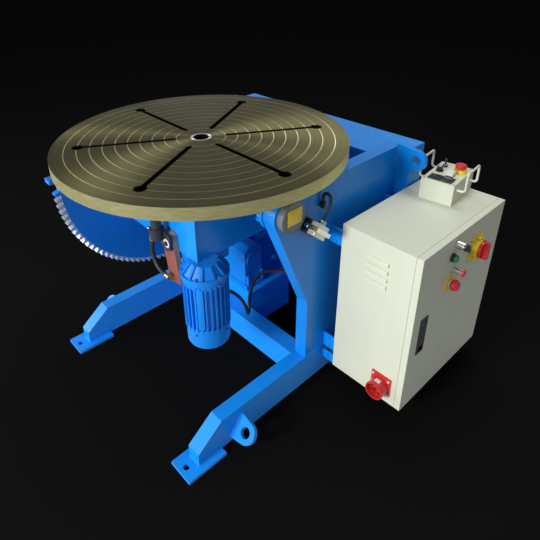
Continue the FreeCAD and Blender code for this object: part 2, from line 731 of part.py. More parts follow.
def fan_cowl(axis, middle_a, middle_b, span, open_low):
    """Smooth fan cowl with a rounded rim and an air-inlet recess at its end."""
    body = rod(axis, size.cowl_radius, span, middle_a, middle_b)
    doc.recompute()
    end = span[0] if open_low else span[1]
    rim = [index for index, edge in enumerate(body.Shape.Edges, start=1)
           if abs(getattr(edge.CenterOfMass, axis) - float(end)) < 0.1 and len(edge.Vertexes) == 1]
    rounded = doc.addObject("Part::Fillet", unique("rounded"))
    rounded.Base = body
    rounded.Edges = [(index, 14, 14) for index in rim]
    inlet = (end - 1, end + 6) if open_low else (end - 6, end + 1)
    return cut(rounded, rod(axis, size.cowl_radius - 34, inlet, middle_a, middle_b))


def slew_motor_flange():
    """Flange that bolts the turning motor under the bell."""
    x, y = motor_axis()
    return rod("z", size.motor_flange_radius, (bell_low - size.motor_flange, bell_low), x, y)


def terminal_box():
    """Terminal box on the turning motor, with its lid and cable gland, turned to the back."""
    x, y = motor_axis()
    face = y + size.motor_radius
    top = bell_low - size.terminal_drop
    low = top - size.terminal_height
    body = box((x - 46, x + 46), (face - 12, face + 30), (low, top))
    lid = box((x - 50, x + 50), (face + 30, face + 38), (low - 4, top + 4))
    gland = rod("z", size.cable_radius + 4, (low - 16, low + 1), x + 38, face + 13)
    return turned(fuse(body, lid, gland), Vector(0, 0, 1), size.terminal_turn.number, (x, y, 0))


table = node("table_plate", table_plate())
node("table_spindle", table_spindle())
node("slew_gear", slew_gear())
node("slew_pinion", slew_pinion())
node("carriage_box", carriage_box())
node("spindle_bearings", spindle_bearings())
node("trunnions", group(trunnion(1), trunnion(-1)))
node("sector_gear", fuse(sector_gear(), sector_stop()))
node("tilt_pinion", tilt_pinion())
node("slew_reducer", slew_reducer())
slew_x, slew_y = motor_axis()
slew_high = bell_low - size.motor_flange + 1
slew_low = slew_high - size.slew_motor_length
node("slew_motor", fuse(finned_motor("z", slew_x, slew_y, (slew_low, slew_high)),
                        slew_motor_flange(), terminal_box()))
node("slew_motor_cowl", fan_cowl("z", slew_x, slew_y, (slew_low - size.cowl_length, slew_low),
                                 True))

# ------------------------------------------------------------------ tilt drive
def drive_bed():
    """Boxed bed behind the front beam that carries the tilt drive."""
    wall = size.plate_wall
    x = (-size.bed_left, size.bed_right)
    y = (size.bed_front_y, size.bed_rear_y)
    under = size.bed_top - size.bed_plate
    outer = box((x[0] + 6, x[1] - 6), (y[0], y[1] - 6), (size.foot_thickness, under))
    inner = box((x[0] + 6 + wall, x[1] - 6 - wall), (y[0] + wall, y[1] - 6 - wall),
                (size.foot_thickness + wall, under - wall))
    return fuse(cut(outer, inner), box(x, y, (under, size.bed_top)))


def pinion_gearbox():
    """Foot-mounted output gearbox of the tilt drive, with corner ribs and an output boss."""
    y, z = pinion_axis()
    left, right = -size.gearbox_left, size.gearbox_right
    front, rear = size.gearbox_front_y, size.gearbox_rear_y
    low, top = size.bed_top, z + size.gearbox_crown
    foot = box((left, right + 16), (front, rear), (low, low + size.gearbox_foot))
    half = (rear - front) / 2
    middle = (front + rear) / 2
    outline = [(front + 6, low), (rear, low), (rear, top - 26), (rear - 26, top),
               (front + 32, top), (front + 6, top - 26)]
    case = extrude("x", outline, (left, right))
    cover = rod("x", half - 12, (right, right + 8), middle, z)
    boss = rod("x", size.pinion_shaft_radius + 22, (left - 12, left + 1), y, z)
    ribs = [box((right - 1, right + 14), (spot - 4, spot + 4), (low, low + 60))
            for spot in (front + 14, rear - 8)]
    bore = rod("x", size.pinion_shaft_radius + size.running_clearance, (left - 13, left + 41), y, z)
    return cut(fuse(foot, case, cover, boss, *ribs), bore)


def worm_reducer():
    """Ribbed worm reducer between the tilt motor and the output gearbox."""
    left, right = -size.worm_left, -size.worm_right
    front, rear = size.gearbox_rear_y, size.worm_rear_y
    low, top = size.bed_top, size.worm_top
    case = box((left, right), (front, rear), (low, top))
    crown = box((left + 18, right - 18), (front, rear - 12), (top, top + 14))
    ribs = []
    spot = front.number + 14
    while spot < rear.number - 8:
        ribs.append(Part.makeBox((right - left).number + 2 * size.worm_rib.number,
                                 size.worm_rib_width.number, (top - low).number - 34,
                                 Vector((left - size.worm_rib).number, spot, low.number + 12)))
        spot += size.worm_rib_gap.number
    return fuse(case, crown, shape(Part.makeCompound(ribs)))


def tilt_motor_face():
    """Flange between the worm reducer and its motor."""
    x, z = size.tilt_motor_x, size.tilt_motor_height
    rear = size.worm_rear_y
    return fuse(rod("y", 84, (rear, rear + 14), x, z),
                cone("y", (78, size.motor_radius + 4), (rear + 13, rear + 26), x, z))


def tilt_bearing(side):
    """Flanged bearing housing in the head of an upright, with ribs between flange and boss."""
    inner = size.rim_inner_x
    y, z = size.tilt_y, size.tilt_height
    flange = rod("x", size.housing_flange_radius, (inner - size.housing_flange, inner), y, z)
    boss = rod("x", size.housing_radius,
               (inner - size.housing_length, size.rim_outer_x - size.web_thickness), y, z)
    bore = rod("x", size.trunnion_radius + size.running_clearance,
               (inner - size.housing_length - 1, size.rim_outer_x), y, z)
    ribs = []
    for index in range(6):
        foot = size.trunnion_radius.number + 6
        rib = Part.makeBox(size.housing_length.number - size.housing_flange.number + 1,
                           12, size.housing_flange_radius.number - 6 - foot,
                           Vector((inner - size.housing_length).number, -6, foot))
        rib.rotate(Vector(), Vector(1, 0, 0), 60 * index)
        rib.translate(Vector(0, y.number, z.number))
        ribs.append(rib)
    whole = cut(fuse(flange, boss, shape(Part.makeCompound(ribs))), bore)
    return whole if side > 0 else mirrored(whole)


def hexagon(across, height):
    """A hexagonal head about the Z axis, from z = 0."""
    corner = across / math.sqrt(3)
    corners = [Vector(corner * math.cos(math.radians(60 * i)), corner * math.sin(math.radians(60 * i)), 0)
               for i in range(7)]
    return Part.Face(Part.makePolygon(corners)).extrude(Vector(0, 0, height))


def bearing_bolts():
    """Hexagon screws of both tilt bearing flanges."""
    solids = []
    ring = (size.housing_flange_radius + size.housing_radius).number / 2
    height = size.bolt_head.number
    face = (size.rim_inner_x - size.housing_flange).number
    for side in (-1, 1):
        for index in range(6):
            angle = math.radians(60 * index)
            head = hexagon(12, height)
            head.rotate(Vector(), Vector(0, 1, 0), -90 * side)
            head.translate(Vector(side * face, size.tilt_y.number + ring * math.cos(angle),
                                  size.tilt_height.number + ring * math.sin(angle)))
            solids.append(head)
    return shape(Part.makeCompound(solids))


def end_covers():
    """Round covers over the outer ends of the tilt shafts."""
    face = size.rim_outer_x
    cover = rod("x", size.cover_radius, (face, face + size.cover_depth), size.tilt_y,
                size.tilt_height)
    relief = rod("x", size.cover_radius - 8, (face - 1, face + size.cover_depth - 4), size.tilt_y,
                 size.tilt_height)
    whole = cut(cover, relief)
    return group(whole, mirrored(whole))


# ------------------------------------------------------------------ earth contact
def on_board(solid):
    """Lean a solid with the insulating board, about the board's centre."""
    centre = Vector(size.board_x.number, 0, board_height.number)
    solid.rotate(centre, Vector(0, 1, 0), -size.board_lean.number)
    return solid


def board_face():
    """Front face of the insulating board (y), and the box face behind it."""
    back = size.table_y - size.box_half_depth - 2
    return back - size.board_thickness, back


def insulator_board():
    """Leaning insulating board with clipped corners, on the front of the carriage box."""
    front, back = board_face()
    x, z = size.board_x.number, board_height.number
    w, h = size.board_width.number / 2, size.board_length.number / 2
    clip = 12
    outline = [(x - w, z - h), (x + w, z - h), (x + w, z + h - clip), (x + w - clip, z + h),
               (x - w + clip, z + h), (x - w, z + h - clip)]
    corners = [Vector(u, front.number, v) for u, v in outline]
    board = Part.Face(Part.makePolygon(corners + corners[:1]))
    board = board.extrude(Vector(0, (back - front).number, 0))
    board = shape(on_board(board))
    spacers = [rod("y", 9, (back, back + 2), x - 14, z + side) for side in (60, 82)]
    return fuse(board, *spacers)


def brush_bracket():
    """Clamp bracket of the brush holder, bolted to the board."""
    front, back = board_face()
    near, far = front - 12, front
    collar_x, collar_y = size.post_x, size.post_y
    low = post_bottom - 10
    arm = [(collar_x - 20, low), (collar_x + 34, low - 44), (collar_x + 62, low - 30),
           (collar_x + 62, low + 22), (collar_x + 24, low + 34), (collar_x - 20, low + 34)]
    plate = extrude("y", arm, (near, far))
    collar = rod("z", size.post_radius + 7, (low, low + 34), collar_x, collar_y)
    collar = cut(collar, box((collar_x - 60, collar_x + 60), (far, far + 60), (low - 1, low + 40)))
    bore = rod("z", size.post_radius, (low - 1, low + 35), collar_x, collar_y)
    screw = rod("x", 4, (collar_x - size.post_radius - 26, collar_x - size.post_radius - 4),
                collar_y, low + 16)
    tag = rod("z", size.lead_radius + 2, (626, low + 18), -34, collar_y)
    return cut(fuse(plate, collar, screw, tag), bore)


def brush_post():
    """Brush holder: a tube that guides the carbon brush up to the table."""
    low = post_bottom - 10
    top = table_top - size.table_thickness - 14
    tube = rod("z", size.post_radius, (low, top), size.post_x, size.post_y)
    bore = rod("z", size.brush_radius + size.running_clearance, (low + 120, top + 1), size.post_x,
               size.post_y)
    return cut(tube, bore)


def carbon_brush():
    """Carbon brush that its spring holds against the underside of the table."""
    top = table_top - size.table_thickness - size.brush_gap
    return rod("z", size.brush_radius, (top - 70, top), size.post_x, size.post_y)


# The lead's route from the bracket round to its lug on the board.
LEAD_ROUTE = [(-34, -362, 626), (-34, -362, 596), (-46, -362, 556), (-36, -362, 516),
              (-6, -362, 486), (33, -362, 486)]

# The motor cable's route: down from the terminal box, over the front beam and up to the right
# upright, where it ends in a leaning gland on the web.
MOTOR_CABLE_ROUTE = [(139.4, -205.2, 450), (139.4, -205.2, 428), (142.5, -199.5, 408),
                     (150, -185, 390), (157, -160, 368), (154, -132, 332), (142, -102, 286),
                     (126, -74, 234), (108, -50, 180),
                     (96, -36, 154), (80, -17, 145), (66, -3, 156), (59, 5, 186), (66, 8, 236),
                     (88, 6, 294), (124, 0, 350), (172, -6, 396), (230, -12, 432),
                     (288, -14, 460), (340, 8, 478), (374, 48, 484), (388, 78, 484)]


def lead_lug():
    """Brass lug at the end of the lead and its screw in the board."""
    front, back = board_face()
    eye = rod("y", 12, (front - 6, front), 44, 472)
    barrel = rod("x", size.lead_radius + 2, (33, 54), -362, 486)
    tongue = box((40, 54), (-362, front - 2), (470, 480))
    screw = rod("y", 6, (front - 13, front - 5), 44, 472)
    return fuse(eye, barrel, tongue, screw)


def cable_run(points, radius):
    """A round cable through hand-set points: straight runs joined by tangent arcs."""
    points = [Vector(*point) for point in points]
    edges, start, bends = [], points[0], []
    for before, corner, after in zip(points, points[1:], points[2:]):
        into, out = (corner - before), (after - corner)
        run = 0.45 * min(into.Length, out.Length)
        into.normalize()
        out.normalize()
        half_turn = into.getAngle(out) / 2
        a, b = corner - into * run, corner + out * run
        bend = run / math.tan(half_turn)
        bends.append(bend)
        middle = corner + (out - into).normalize() * (bend / math.cos(half_turn) - bend)
        edges.append(Part.LineSegment(start, a).toShape())
        edges.append(Part.Arc(a, middle, b).toShape())
        start = b
    edges.append(Part.LineSegment(start, points[-1]).toShape())
    path = Part.Wire(edges)
    first = points[1] - points[0]
    ring = Part.Wire([Part.Circle(points[0], first, radius).toShape()])
    tube = path.makePipeShell([ring], True, False)
    expected = math.pi * radius ** 2 * path.Length
    print("cable: length %.0f, tightest bend %.0f, volume ratio %.4f"
          % (path.Length, min(bends), tube.Volume / expected))
    return tube


node("drive_bed", drive_bed())
node("pinion_gearbox", pinion_gearbox())
node("worm_reducer", worm_reducer())
tilt_rear = size.worm_rear_y + 25
node("tilt_motor", fuse(finned_motor("y", size.tilt_motor_x, size.tilt_motor_height,
                                     (tilt_rear, tilt_rear + size.motor_length)),
                        tilt_motor_face()))
node("tilt_motor_cowl", fan_cowl("y", size.tilt_motor_x, size.tilt_motor_height,
                                 (tilt_rear + size.motor_length,
                                  tilt_rear + size.motor_length + size.cowl_length), False))
node("tilt_bearings", group(tilt_bearing(1), tilt_bearing(-1)))
node("bearing_bolts", bearing_bolts())
node("end_covers", end_covers())
node("insulator_board", insulator_board())
node("brush_holder", fuse(brush_bracket(), brush_post()))
node("carbon_brush", carbon_brush())
node("brush_lead", shape(cable_run(LEAD_ROUTE, size.lead_radius.number)))
node("lead_lug", lead_lug())
node("motor_cable", shape(cable_run(MOTOR_CABLE_ROUTE, size.cable_radius.number)))

# ------------------------------------------------------------------ cabinet
def cabinet_shell():
    """Sheet-metal cabinet, open on the right, with a rebate round the door and louvre slots."""
    wall = size.sheet
    left, right = size.cabinet_left, size.cabinet_right - size.leaf_depth - size.leaf_gap
    y = (size.cabinet_front_y, size.cabinet_rear_y)
    z = (size.cabinet_bottom, size.cabinet_top)
    outer = box((left, right), y, z)
    inner = box((left + wall, right - wall), (y[0] + wall, y[1] - wall), (z[0] + wall, z[1] - wall))
    lip = size.rebate
    mouth = box((right - wall - 1, right + 1), (y[0] + lip, y[1] - lip), (z[0] + lip, z[1] - lip))
    slots, hoods = [], []
    for index in range(int(size.louvre_count.number)):
        top = size.louvre_top - index * size.louvre_pitch
        x = (size.louvre_x, size.louvre_x + size.louvre_width)
        slots.append(box((x[0] + 3, x[1] - 3), (y[0] - 1, y[0] + wall + 1),
                         (top - size.louvre_height, top - 2)))
        hoods.append(louvre(x, y[0], top))
    return fuse(cut(outer, inner, mouth, *slots), *hoods)


def louvre(x, face, top):
    """A pressed louvre hood over its slot, open downwards."""
    reach, drop, wall, slope = size.louvre_hood, size.louvre_height, 1.2, size.louvre_slope
    outer = [(face, top), (face, top - drop + 1), (face - reach, top - drop + 1),
             (face - reach, top - drop + slope), (face - reach * 0.7, top - slope * 0.7)]
    hood = extrude("x", outer, x)
    inner = [(face + 1, top - wall - 2), (face + 1, top - drop), (face - reach + wall, top - drop),
             (face - reach + wall, top - drop + slope - 1), (face - reach * 0.7 + wall, top - slope)]
    return cut(hood, extrude("x", inner, (x[0] + 1.5, x[1] - 1.5)))


def cabinet_brackets():
    """Plates that hold the cabinet off the right upright."""
    x = (size.rim_outer_x, size.cabinet_left)
    plates = []
    for low in (size.leg_top + 4, size.cabinet_top - 90):
        for spot in (size.cabinet_front_y + 2, size.frame_rear_y - 60):
            plates.append(box(x, (spot, spot + 8), (low, low + 60)))
    low_bracket = box((size.leg_inner_x + size.leg_width, size.cabinet_left),
                      (size.cabinet_front_y + 2, size.cabinet_front_y + 10),
                      (size.cabinet_bottom + 4, size.leg_top - 20))
    return group(low_bracket, *plates)


def mounting_plate():
    """Steel plate inside the cabinet, on four spacers."""
    left = size.cabinet_left + size.sheet
    y = (size.cabinet_front_y + 40, size.cabinet_rear_y - 40)
    z = (size.cabinet_bottom + 40, size.cabinet_top - 40)
    plate = box((left + 18, left + 21), y, z)
    pegs = [rod("x", 6, (left, left + 18.5), a, b)
            for a in (y[0] + 20, y[1] - 20) for b in (z[0] + 20, z[1] - 20)]
    return fuse(plate, *pegs)


def switchgear():
    """Two inverters, a row of contactors and the terminal strip on the mounting plate."""
    face = size.cabinet_left + size.sheet + 21
    y, z = size.cabinet_front_y, size.cabinet_bottom
    drives = [box((face, face + 120), (y + 90 + 120 * i, y + 185 + 120 * i), (z + 360, z + 530))
              for i in range(2)]
    relays = [box((face, face + 84), (y + 80 + 56 * i, y + 126 + 56 * i), (z + 210, z + 300))
              for i in range(6)]
    strip = box((face, face + 46), (y + 80, y + 420), (z + 90, z + 140))
    return group(*drives, *relays, strip)


def door_axis():
    """The door hinge's axis in (x, y)."""
    return (size.cabinet_right - size.leaf_depth / 2,
            size.cabinet_rear_y + size.hinge_radius + size.gap)


def door_devices():
    """Each control of the door: name, y, height and hole radius."""
    return {"selector": (size.control_y - 8, size.cabinet_top - size.selector_drop, 11),
            "start": (size.control_y - 18, size.cabinet_top - size.start_drop, 11),
            "stop": (size.control_y + 2, size.cabinet_top - size.stop_drop, 11),
            "estop": (size.control_y - 2, size.cabinet_top - size.estop_drop, 11),
            "switch": (size.switch_y, size.cabinet_top - size.switch_drop, 8)}


def cabinet_door():
    """Door leaf: a shallow tray with holes for its controls and knuckles at its rear edge."""
    wall = size.sheet
    x = (size.cabinet_right - size.leaf_depth, size.cabinet_right)
    y = (size.cabinet_front_y, size.cabinet_rear_y)
    z = (size.cabinet_bottom, size.cabinet_top)
    outer = box(x, y, z)
    inner = box((x[0] - 1, x[1] - wall), (y[0] + wall, y[1] - wall), (z[0] + wall, z[1] - wall))
    holes = [rod("x", radius, (x[0] - 1, x[1] + 1), a, b)
             for a, b, radius in door_devices().values()]
    latch = box((x[0] - 1, x[1] + 1),
                (size.latch_y - size.latch_width / 2 + 3, size.latch_y + size.latch_width / 2 - 3),
                (size.latch_height - size.latch_length / 2 + 3,
                 size.latch_height + size.latch_length / 2 - 3))
    leaf = cut(outer, inner, latch, *holes)
    axis_x, axis_y = door_axis()
    bore = size.hinge_pin_radius + size.running_clearance
    knuckles = []
    for low in hinge_heights():
        barrel = rod("z", size.hinge_radius, (low, low + size.hinge_length / 2 - size.gap),
                     axis_x, axis_y)
        strap = box((axis_x - 4, axis_x + 4), (size.cabinet_rear_y - 1, axis_y),
                    (low, low + size.hinge_length / 2 - size.gap))
        hole = rod("z", bore, (low - 1, low + size.hinge_length), axis_x, axis_y)
        knuckles.append(cut(fuse(barrel, strap), hole))
    return fuse(leaf, *knuckles)


def hinge_heights():
    """Lower end of each hinge."""
    return (size.cabinet_bottom + size.hinge_inset,
            size.cabinet_top - size.hinge_inset - size.hinge_length)


def door_hinges():
    """Fixed hinge halves on the cabinet: a strap, a knuckle and the pin."""
    axis_x, axis_y = door_axis()
    near = size.cabinet_right - size.leaf_depth - size.leaf_gap
    halves = []
    for low in hinge_heights():
        middle = low + size.hinge_length / 2
        top = low + size.hinge_length
        barrel = rod("z", size.hinge_radius, (middle, top), axis_x, axis_y)
        pin = rod("z", size.hinge_pin_radius, (low + 2, top), axis_x, axis_y)
        strap = box((near - 34, axis_x), (axis_y - 2, axis_y + 2), (middle, top))
        pad = box((near - 34, near - 8), (size.cabinet_rear_y, axis_y + 2), (middle, top))
        halves.append(fuse(barrel, pin, strap, pad))
    return group(*halves)


def device(name, length, ring):
    """A control's fixed barrel on the door: a round bezel outside and a nut inside."""
    y, z, hole = door_devices()[name]
    face = size.cabinet_right
    bezel = rod("x", ring, (face, face + length), y, z)
    stem = rod("x", hole, (face - 30, face + 1), y, z)
    nut = rod("x", ring - 1, (face - size.sheet - 6, face - size.sheet), y, z)
    bore = rod("x", hole - 3, (face - 31, face + length + 1), y, z)
    return cut(fuse(bezel, stem, nut), bore)


def plunger(name, radius, span):
    """A push button's cap and stem, sliding in its barrel along X."""
    y, z, hole = door_devices()[name]
    face = size.cabinet_right
    cap = rod("x", radius, (face + span[0], face + span[1]), y, z)
    stem = rod("x", hole - 3 - size.gap, (face - 24, face + span[0] + 1), y, z)
    return fuse(cap, stem)


def estop_button():
    """Mushroom head of the emergency stop."""
    y, z, hole = door_devices()["estop"]
    face = size.cabinet_right + 14
    head = rod("x", 20, (face, face + 10), y, z)
    dome = cone("x", (20, 15), (face + 10, face + 16), y, z)
    stem = rod("x", hole - 3 - size.gap, (face - 38, face + 1), y, z)
    return fuse(head, dome, stem)


def estop_ring():
    """Yellow collar round the emergency stop."""
    y, z = door_devices()["estop"][:2]
    face = size.cabinet_right
    ring = rod("x", 31, (face, face + 3), y, z)
    return cut(ring, rod("x", size.device_radius + size.gap, (face - 1, face + 4), y, z))


def switch_base():
    """Square escutcheon of the mains switch and its body behind the door."""
    y, z, hole = door_devices()["switch"]
    face = size.cabinet_right
    plate = box((face, face + 8), (y - 36, y + 36), (z - 42, z + 42))
    tower = rod("x", 37, (face + 7, face + 24), y, z)
    lug_top = box((face + 8, face + 20), (y - 12, y + 12), (z + 26, z + 42))
    lug_low = box((face + 8, face + 20), (y - 12, y + 12), (z - 42, z - 26))
    stem = rod("x", hole, (face - 26, face + 1), y, z)
    body = box((face - 70, face - size.sheet - 4), (y - 30, y + 30), (z - 30, z + 30))
    bore = rod("x", 5 + size.running_clearance, (face - 20, face + 25), y, z)
    return cut(fuse(plate, tower, lug_top, lug_low, stem, body), bore)


def switch_handle():
    """Rotary handle of the mains switch, a disc with a raised grip."""
    y, z = door_devices()["switch"][:2]
    face = size.cabinet_right + 24 + size.gap
    disc = rod("x", 32, (face, face + 8), y, z)
    grip = box((face + 7, face + 24), (y - 8, y + 8), (z - 31, z + 31))
    shaft = rod("x", 5, (face - 36, face + 1), y, z)
    return fuse(disc, grip, shaft)


def selector_knob():
    """Knob of the selector switch with its grip."""
    y, z, hole = door_devices()["selector"]
    face = size.cabinet_right + 30 + size.gap
    cap = rod("x", 12, (face, face + 6), y, z)
    grip = box((face + 5, face + 16), (y - 3.5, y + 3.5), (z - 11.5, z + 11.5))
    stem = rod("x", hole - 3 - size.running_clearance, (face - 40, face + 1), y, z)
    return fuse(cap, grip, stem)


def latch_base():
    """Flush latch plate with a pocket for its lift handle."""
    y, z = size.latch_y, size.latch_height
    w, h = size.latch_width / 2, size.latch_length / 2
    face = size.cabinet_right
    rim = box((face, face + 3), (y - w, y + w), (z - h, z + h))
    tub = box((face - 16, face + 1), (y - w + 4, y + w - 4), (z - h + 4, z + h - 4))
    pocket = box((face - 13, face + 4), (y - w + 7, y + w - 7), (z - h + 7, z + h - 7))
    pin = rod("y", 2.5, (y - w + 5, y + w - 5), face - 4, z + h - 14)
    return fuse(cut(fuse(rim, tub), pocket), pin)


def latch_handle():
    """Lift handle of the latch, on its cross pin."""
    y, z = size.latch_y, size.latch_height
    w, h = size.latch_width / 2 - 7 - size.gap, size.latch_length / 2
    face = size.cabinet_right
    plate = box((face - 3, face + 2), (y - w, y + w), (z - h + 30, z + h - 14))
    barrel = rod("y", 5, (y - w, y + w), face - 4, z + h - 14)
    bore = rod("y", 2.5 + size.running_clearance, (y - w - 1, y + w + 1), face - 4, z + h - 14)
    return cut(fuse(plate, barrel), bore)


def power_inlet():
    """Five-pin mains inlet: flange plate and a round shroud with its pins."""
    x, z = size.inlet_x, size.inlet_height
    face = size.cabinet_front_y
    half = size.inlet_plate / 2
    plate = box((x - half, x + half), (face - 6, face), (z - half, z + half))
    shroud = rod("y", size.inlet_radius, (face - size.inlet_length, face - 5), x, z - 8)
    hollow = rod("y", size.inlet_radius - 4, (face - size.inlet_length - 1, face - 16), x, z - 8)
    pins = []
    for index in range(5):
        angle = math.radians(90 + 72 * index)
        pins.append(rod("y", 3, (face - size.inlet_length + 8, face - 15),
                        x + 17 * math.cos(angle), z - 8 + 17 * math.sin(angle)))
    return fuse(cut(fuse(plate, shroud), hollow), *pins)


# ------------------------------------------------------------------ hand box
def pendant(solid):
    """Put a solid made in the hand box's own corner frame in its place on the cabinet."""
    doc.recompute()
    placed = solid.Shape.copy()
    placed.rotate(Vector(), Vector(0, 0, 1), size.pendant_turn.number)
    placed.translate(Vector(size.pendant_x.number, size.pendant_y.number, size.cabinet_top.number))
    return shape(placed)


def pendant_box():
    """Sheet-metal hand box, hollow, with holes for its controls in the lid."""
    w, d, h = size.pendant_width, size.pendant_depth, size.pendant_height
    wall = size.sheet
    outer = box((0, w), (0, d), (0, h))
    inner = box((wall, w - wall), (wall, d - wall), (wall, h - wall))
    holes = [rod("z", radius, (h - wall - 1, h + 1), a, b)
             for a, b, radius in pendant_devices().values()]
    return pendant(cut(outer, inner, *holes))


def pendant_devices():
    """Each control of the hand box: x, y and hole radius, in the box's corner frame."""
    return {"knob": (26, 92, 5), "toggle": (26, 142, 6), "stop": (86, 126, 11)}


def pendant_display():
    """Raised display strip along the front of the lid."""
    h = size.pendant_height
    return pendant(box((16, size.pendant_width - 16), (12, 52), (h, h + 4)))


def pendant_guards():
    """Bent rod guards on both sides of the hand box."""
    doc.recompute()
    r, reach = size.guard_radius.number, size.guard_reach.number
    w = size.pendant_width.number
    low, rise = size.pendant_height.number - 22, size.guard_rise.number
    bars = []
    for start, side, y0 in ((w, 1, size.guard_start.number), (0, -1, size.guard_start_left.number)):
        out = start + side * reach
        y1 = y0 + size.guard_length.number
        points = [(start, y0, low), (out, y0, low), (out, y0, low + rise), (out, y1, low + rise),
                  (out, y1, low), (start, y1, low)]
        bars.append(bent_rod(points, r, 12))
    return pendant(shape(Part.makeCompound(bars)))


def bent_rod(points, radius, bend):
    """A round rod through square corners, each rounded with the bend radius."""
    points = [Vector(*point) for point in points]
    edges, start = [], points[0]
    for before, corner, after in zip(points, points[1:], points[2:]):
        into, out = (corner - before).normalize(), (after - corner).normalize()
        a, b = corner - into * bend, corner + out * bend
        middle = corner + (out - into).normalize() * (bend * math.sqrt(2) - bend)
        edges += [Part.LineSegment(start, a).toShape(), Part.Arc(a, middle, b).toShape()]
        start = b
    edges.append(Part.LineSegment(start, points[-1]).toShape())
    ring = Part.Wire([Part.Circle(points[0], points[1] - points[0], radius).toShape()])
    return Part.Wire(edges).makePipeShell([ring], True, False)


def pendant_bezels():
    """Fixed parts of the hand box's controls: stop collar, toggle bush and label block."""
    h = size.pendant_height
    spots = pendant_devices()
    x, y = spots["stop"][:2]
    collar = cut(rod("z", 22, (h, h + 12), x, y), rod("z", 9, (h - 1, h + 13), x, y))
    x, y = spots["toggle"][:2]
    bush = cut(rod("z", 9, (h, h + 8), x, y), rod("z", 5.2, (h - 1, h + 9), x, y))
    block = box((60, 84), (62, 90), (h, h + 16))
    return pendant(group(collar, bush, block))


def pendant_knob():
    """Speed knob on the hand box."""
    h = size.pendant_height
    x, y = pendant_devices()["knob"][:2]
    skirt = rod("z", 13, (h + size.gap, h + 5), x, y)
    grip = rod("z", 9, (h + 4, h + 20), x, y)
    shaft = rod("z", 3, (h - 16, h + 5), x, y)
    return pendant(fuse(skirt, grip, shaft))


def pendant_toggle():
    """Lever of the tilt toggle switch."""
    h = size.pendant_height
    x, y = pendant_devices()["toggle"][:2]
    lever = cone("z", (2.5, 4), (h + 3, h + 30), x, y)
    ball = doc.addObject("Part::Sphere", unique("ball"))
    ball.Radius = 4.5
    place(ball, x, y, h + 4)
    return pendant(fuse(lever, ball))


def pendant_stop():
    """Stop button of the hand box."""
    h = size.pendant_height
    x, y = pendant_devices()["stop"][:2]
    head = rod("z", 19, (h + 18, h + 28), x, y)
    stem = rod("z", 8.5, (h - 12, h + 19), x, y)
    return pendant(fuse(head, stem))


# ------------------------------------------------------------------ plug on the frame
def at_plug(item):
    """Turn an item about the plug's axis, which stands out from the right upright."""
    centre = (0, size.plug_y, size.plug_height)
    return turned(item, Vector(1, 0, 0), size.plug_turn.number, centre)


def plug_base():
    """Panel housing of the heavy-duty plug, with lever pegs."""
    face = size.rim_outer_x
    y, z = size.plug_y, size.plug_height
    length, width = size.plug_length / 2, size.plug_width / 2
    foot = box((face, face + 6), (y - width, y + width), (z - length, z + length))
    tower = box((face + 5, face + 30), (y - width + 3, y + width - 3), (z - length + 10, z + length - 10))
    pegs = rod("z", 3.5, (z - length + 4, z + length - 4), face + 20, y)
    return at_plug(fuse(foot, tower, pegs))


def plug_hood():
    """Hood of the plug with its cable outlet."""
    face = size.rim_outer_x + 30
    y, z = size.plug_y, size.plug_height
    length, width = size.plug_length / 2, size.plug_width / 2
    hood = box((face, face + 24), (y - width + 3, y + width - 3), (z - length + 10, z + length - 10))
    outlet = rod("y", 11, (y + width - 4, y + width + 10), face + 12, z)
    return at_plug(fuse(hood, outlet))


def plug_levers():
    """Locking lever of the plug, a bow round the hood on the base's pegs."""
    face = size.rim_outer_x
    y, z = size.plug_y, size.plug_height
    length = size.plug_length / 2 - 10
    arms = []
    for side in (-1, 1):
        near, far = z + side * (length + size.gap), z + side * (length + 5)
        span = (near, far) if side > 0 else (far, near)
        arms.append(box((face + 13, face + 65), (y - 7, y + 7), span))
    bar = box((face + 62, face + 65), (y - 7, y + 7), (z - length - 5, z + length + 5))
    bore = rod("z", 3.5 + size.running_clearance, (z - length - 6, z + length + 6), face + 20, y)
    return at_plug(cut(fuse(bar, *arms), bore))


# The plug cable's route: out of the hood, up and over into an elbow gland on the web.
PLUG_CABLE_ROUTE = [(452, -24.5, 746.85), (452, -7.1, 767.58), (452, 5, 792), (452, 8.5, 814.6),
                    (442.6, 10, 824), (429.4, 10.5, 824), (420, 10.5, 814.6), (420, 10.5, 790)]


def cable_glands():
    """Elbow gland of the plug cable and the leaning gland of the motor cable, on the web."""
    web = size.rim_outer_x
    reach = size.plug_cable_radius + 3.5
    elbow = fuse(rod("z", reach, (770, 790), 420, 10.5), rod("x", reach - 1, (web, 421), 10.5, 779))
    inner = (web - size.web_thickness).number
    start, before = Vector(*MOTOR_CABLE_ROUTE[-1]), Vector(*MOTOR_CABLE_ROUTE[-2])
    along = start - before
    stub = Part.makeCylinder(size.cable_radius.number + 5, 40, start, along)
    room = Part.makeBox(60, 120, 60, Vector(inner - 60, start.y - 40, start.z - 30))
    return elbow, shape(stub.common(room))


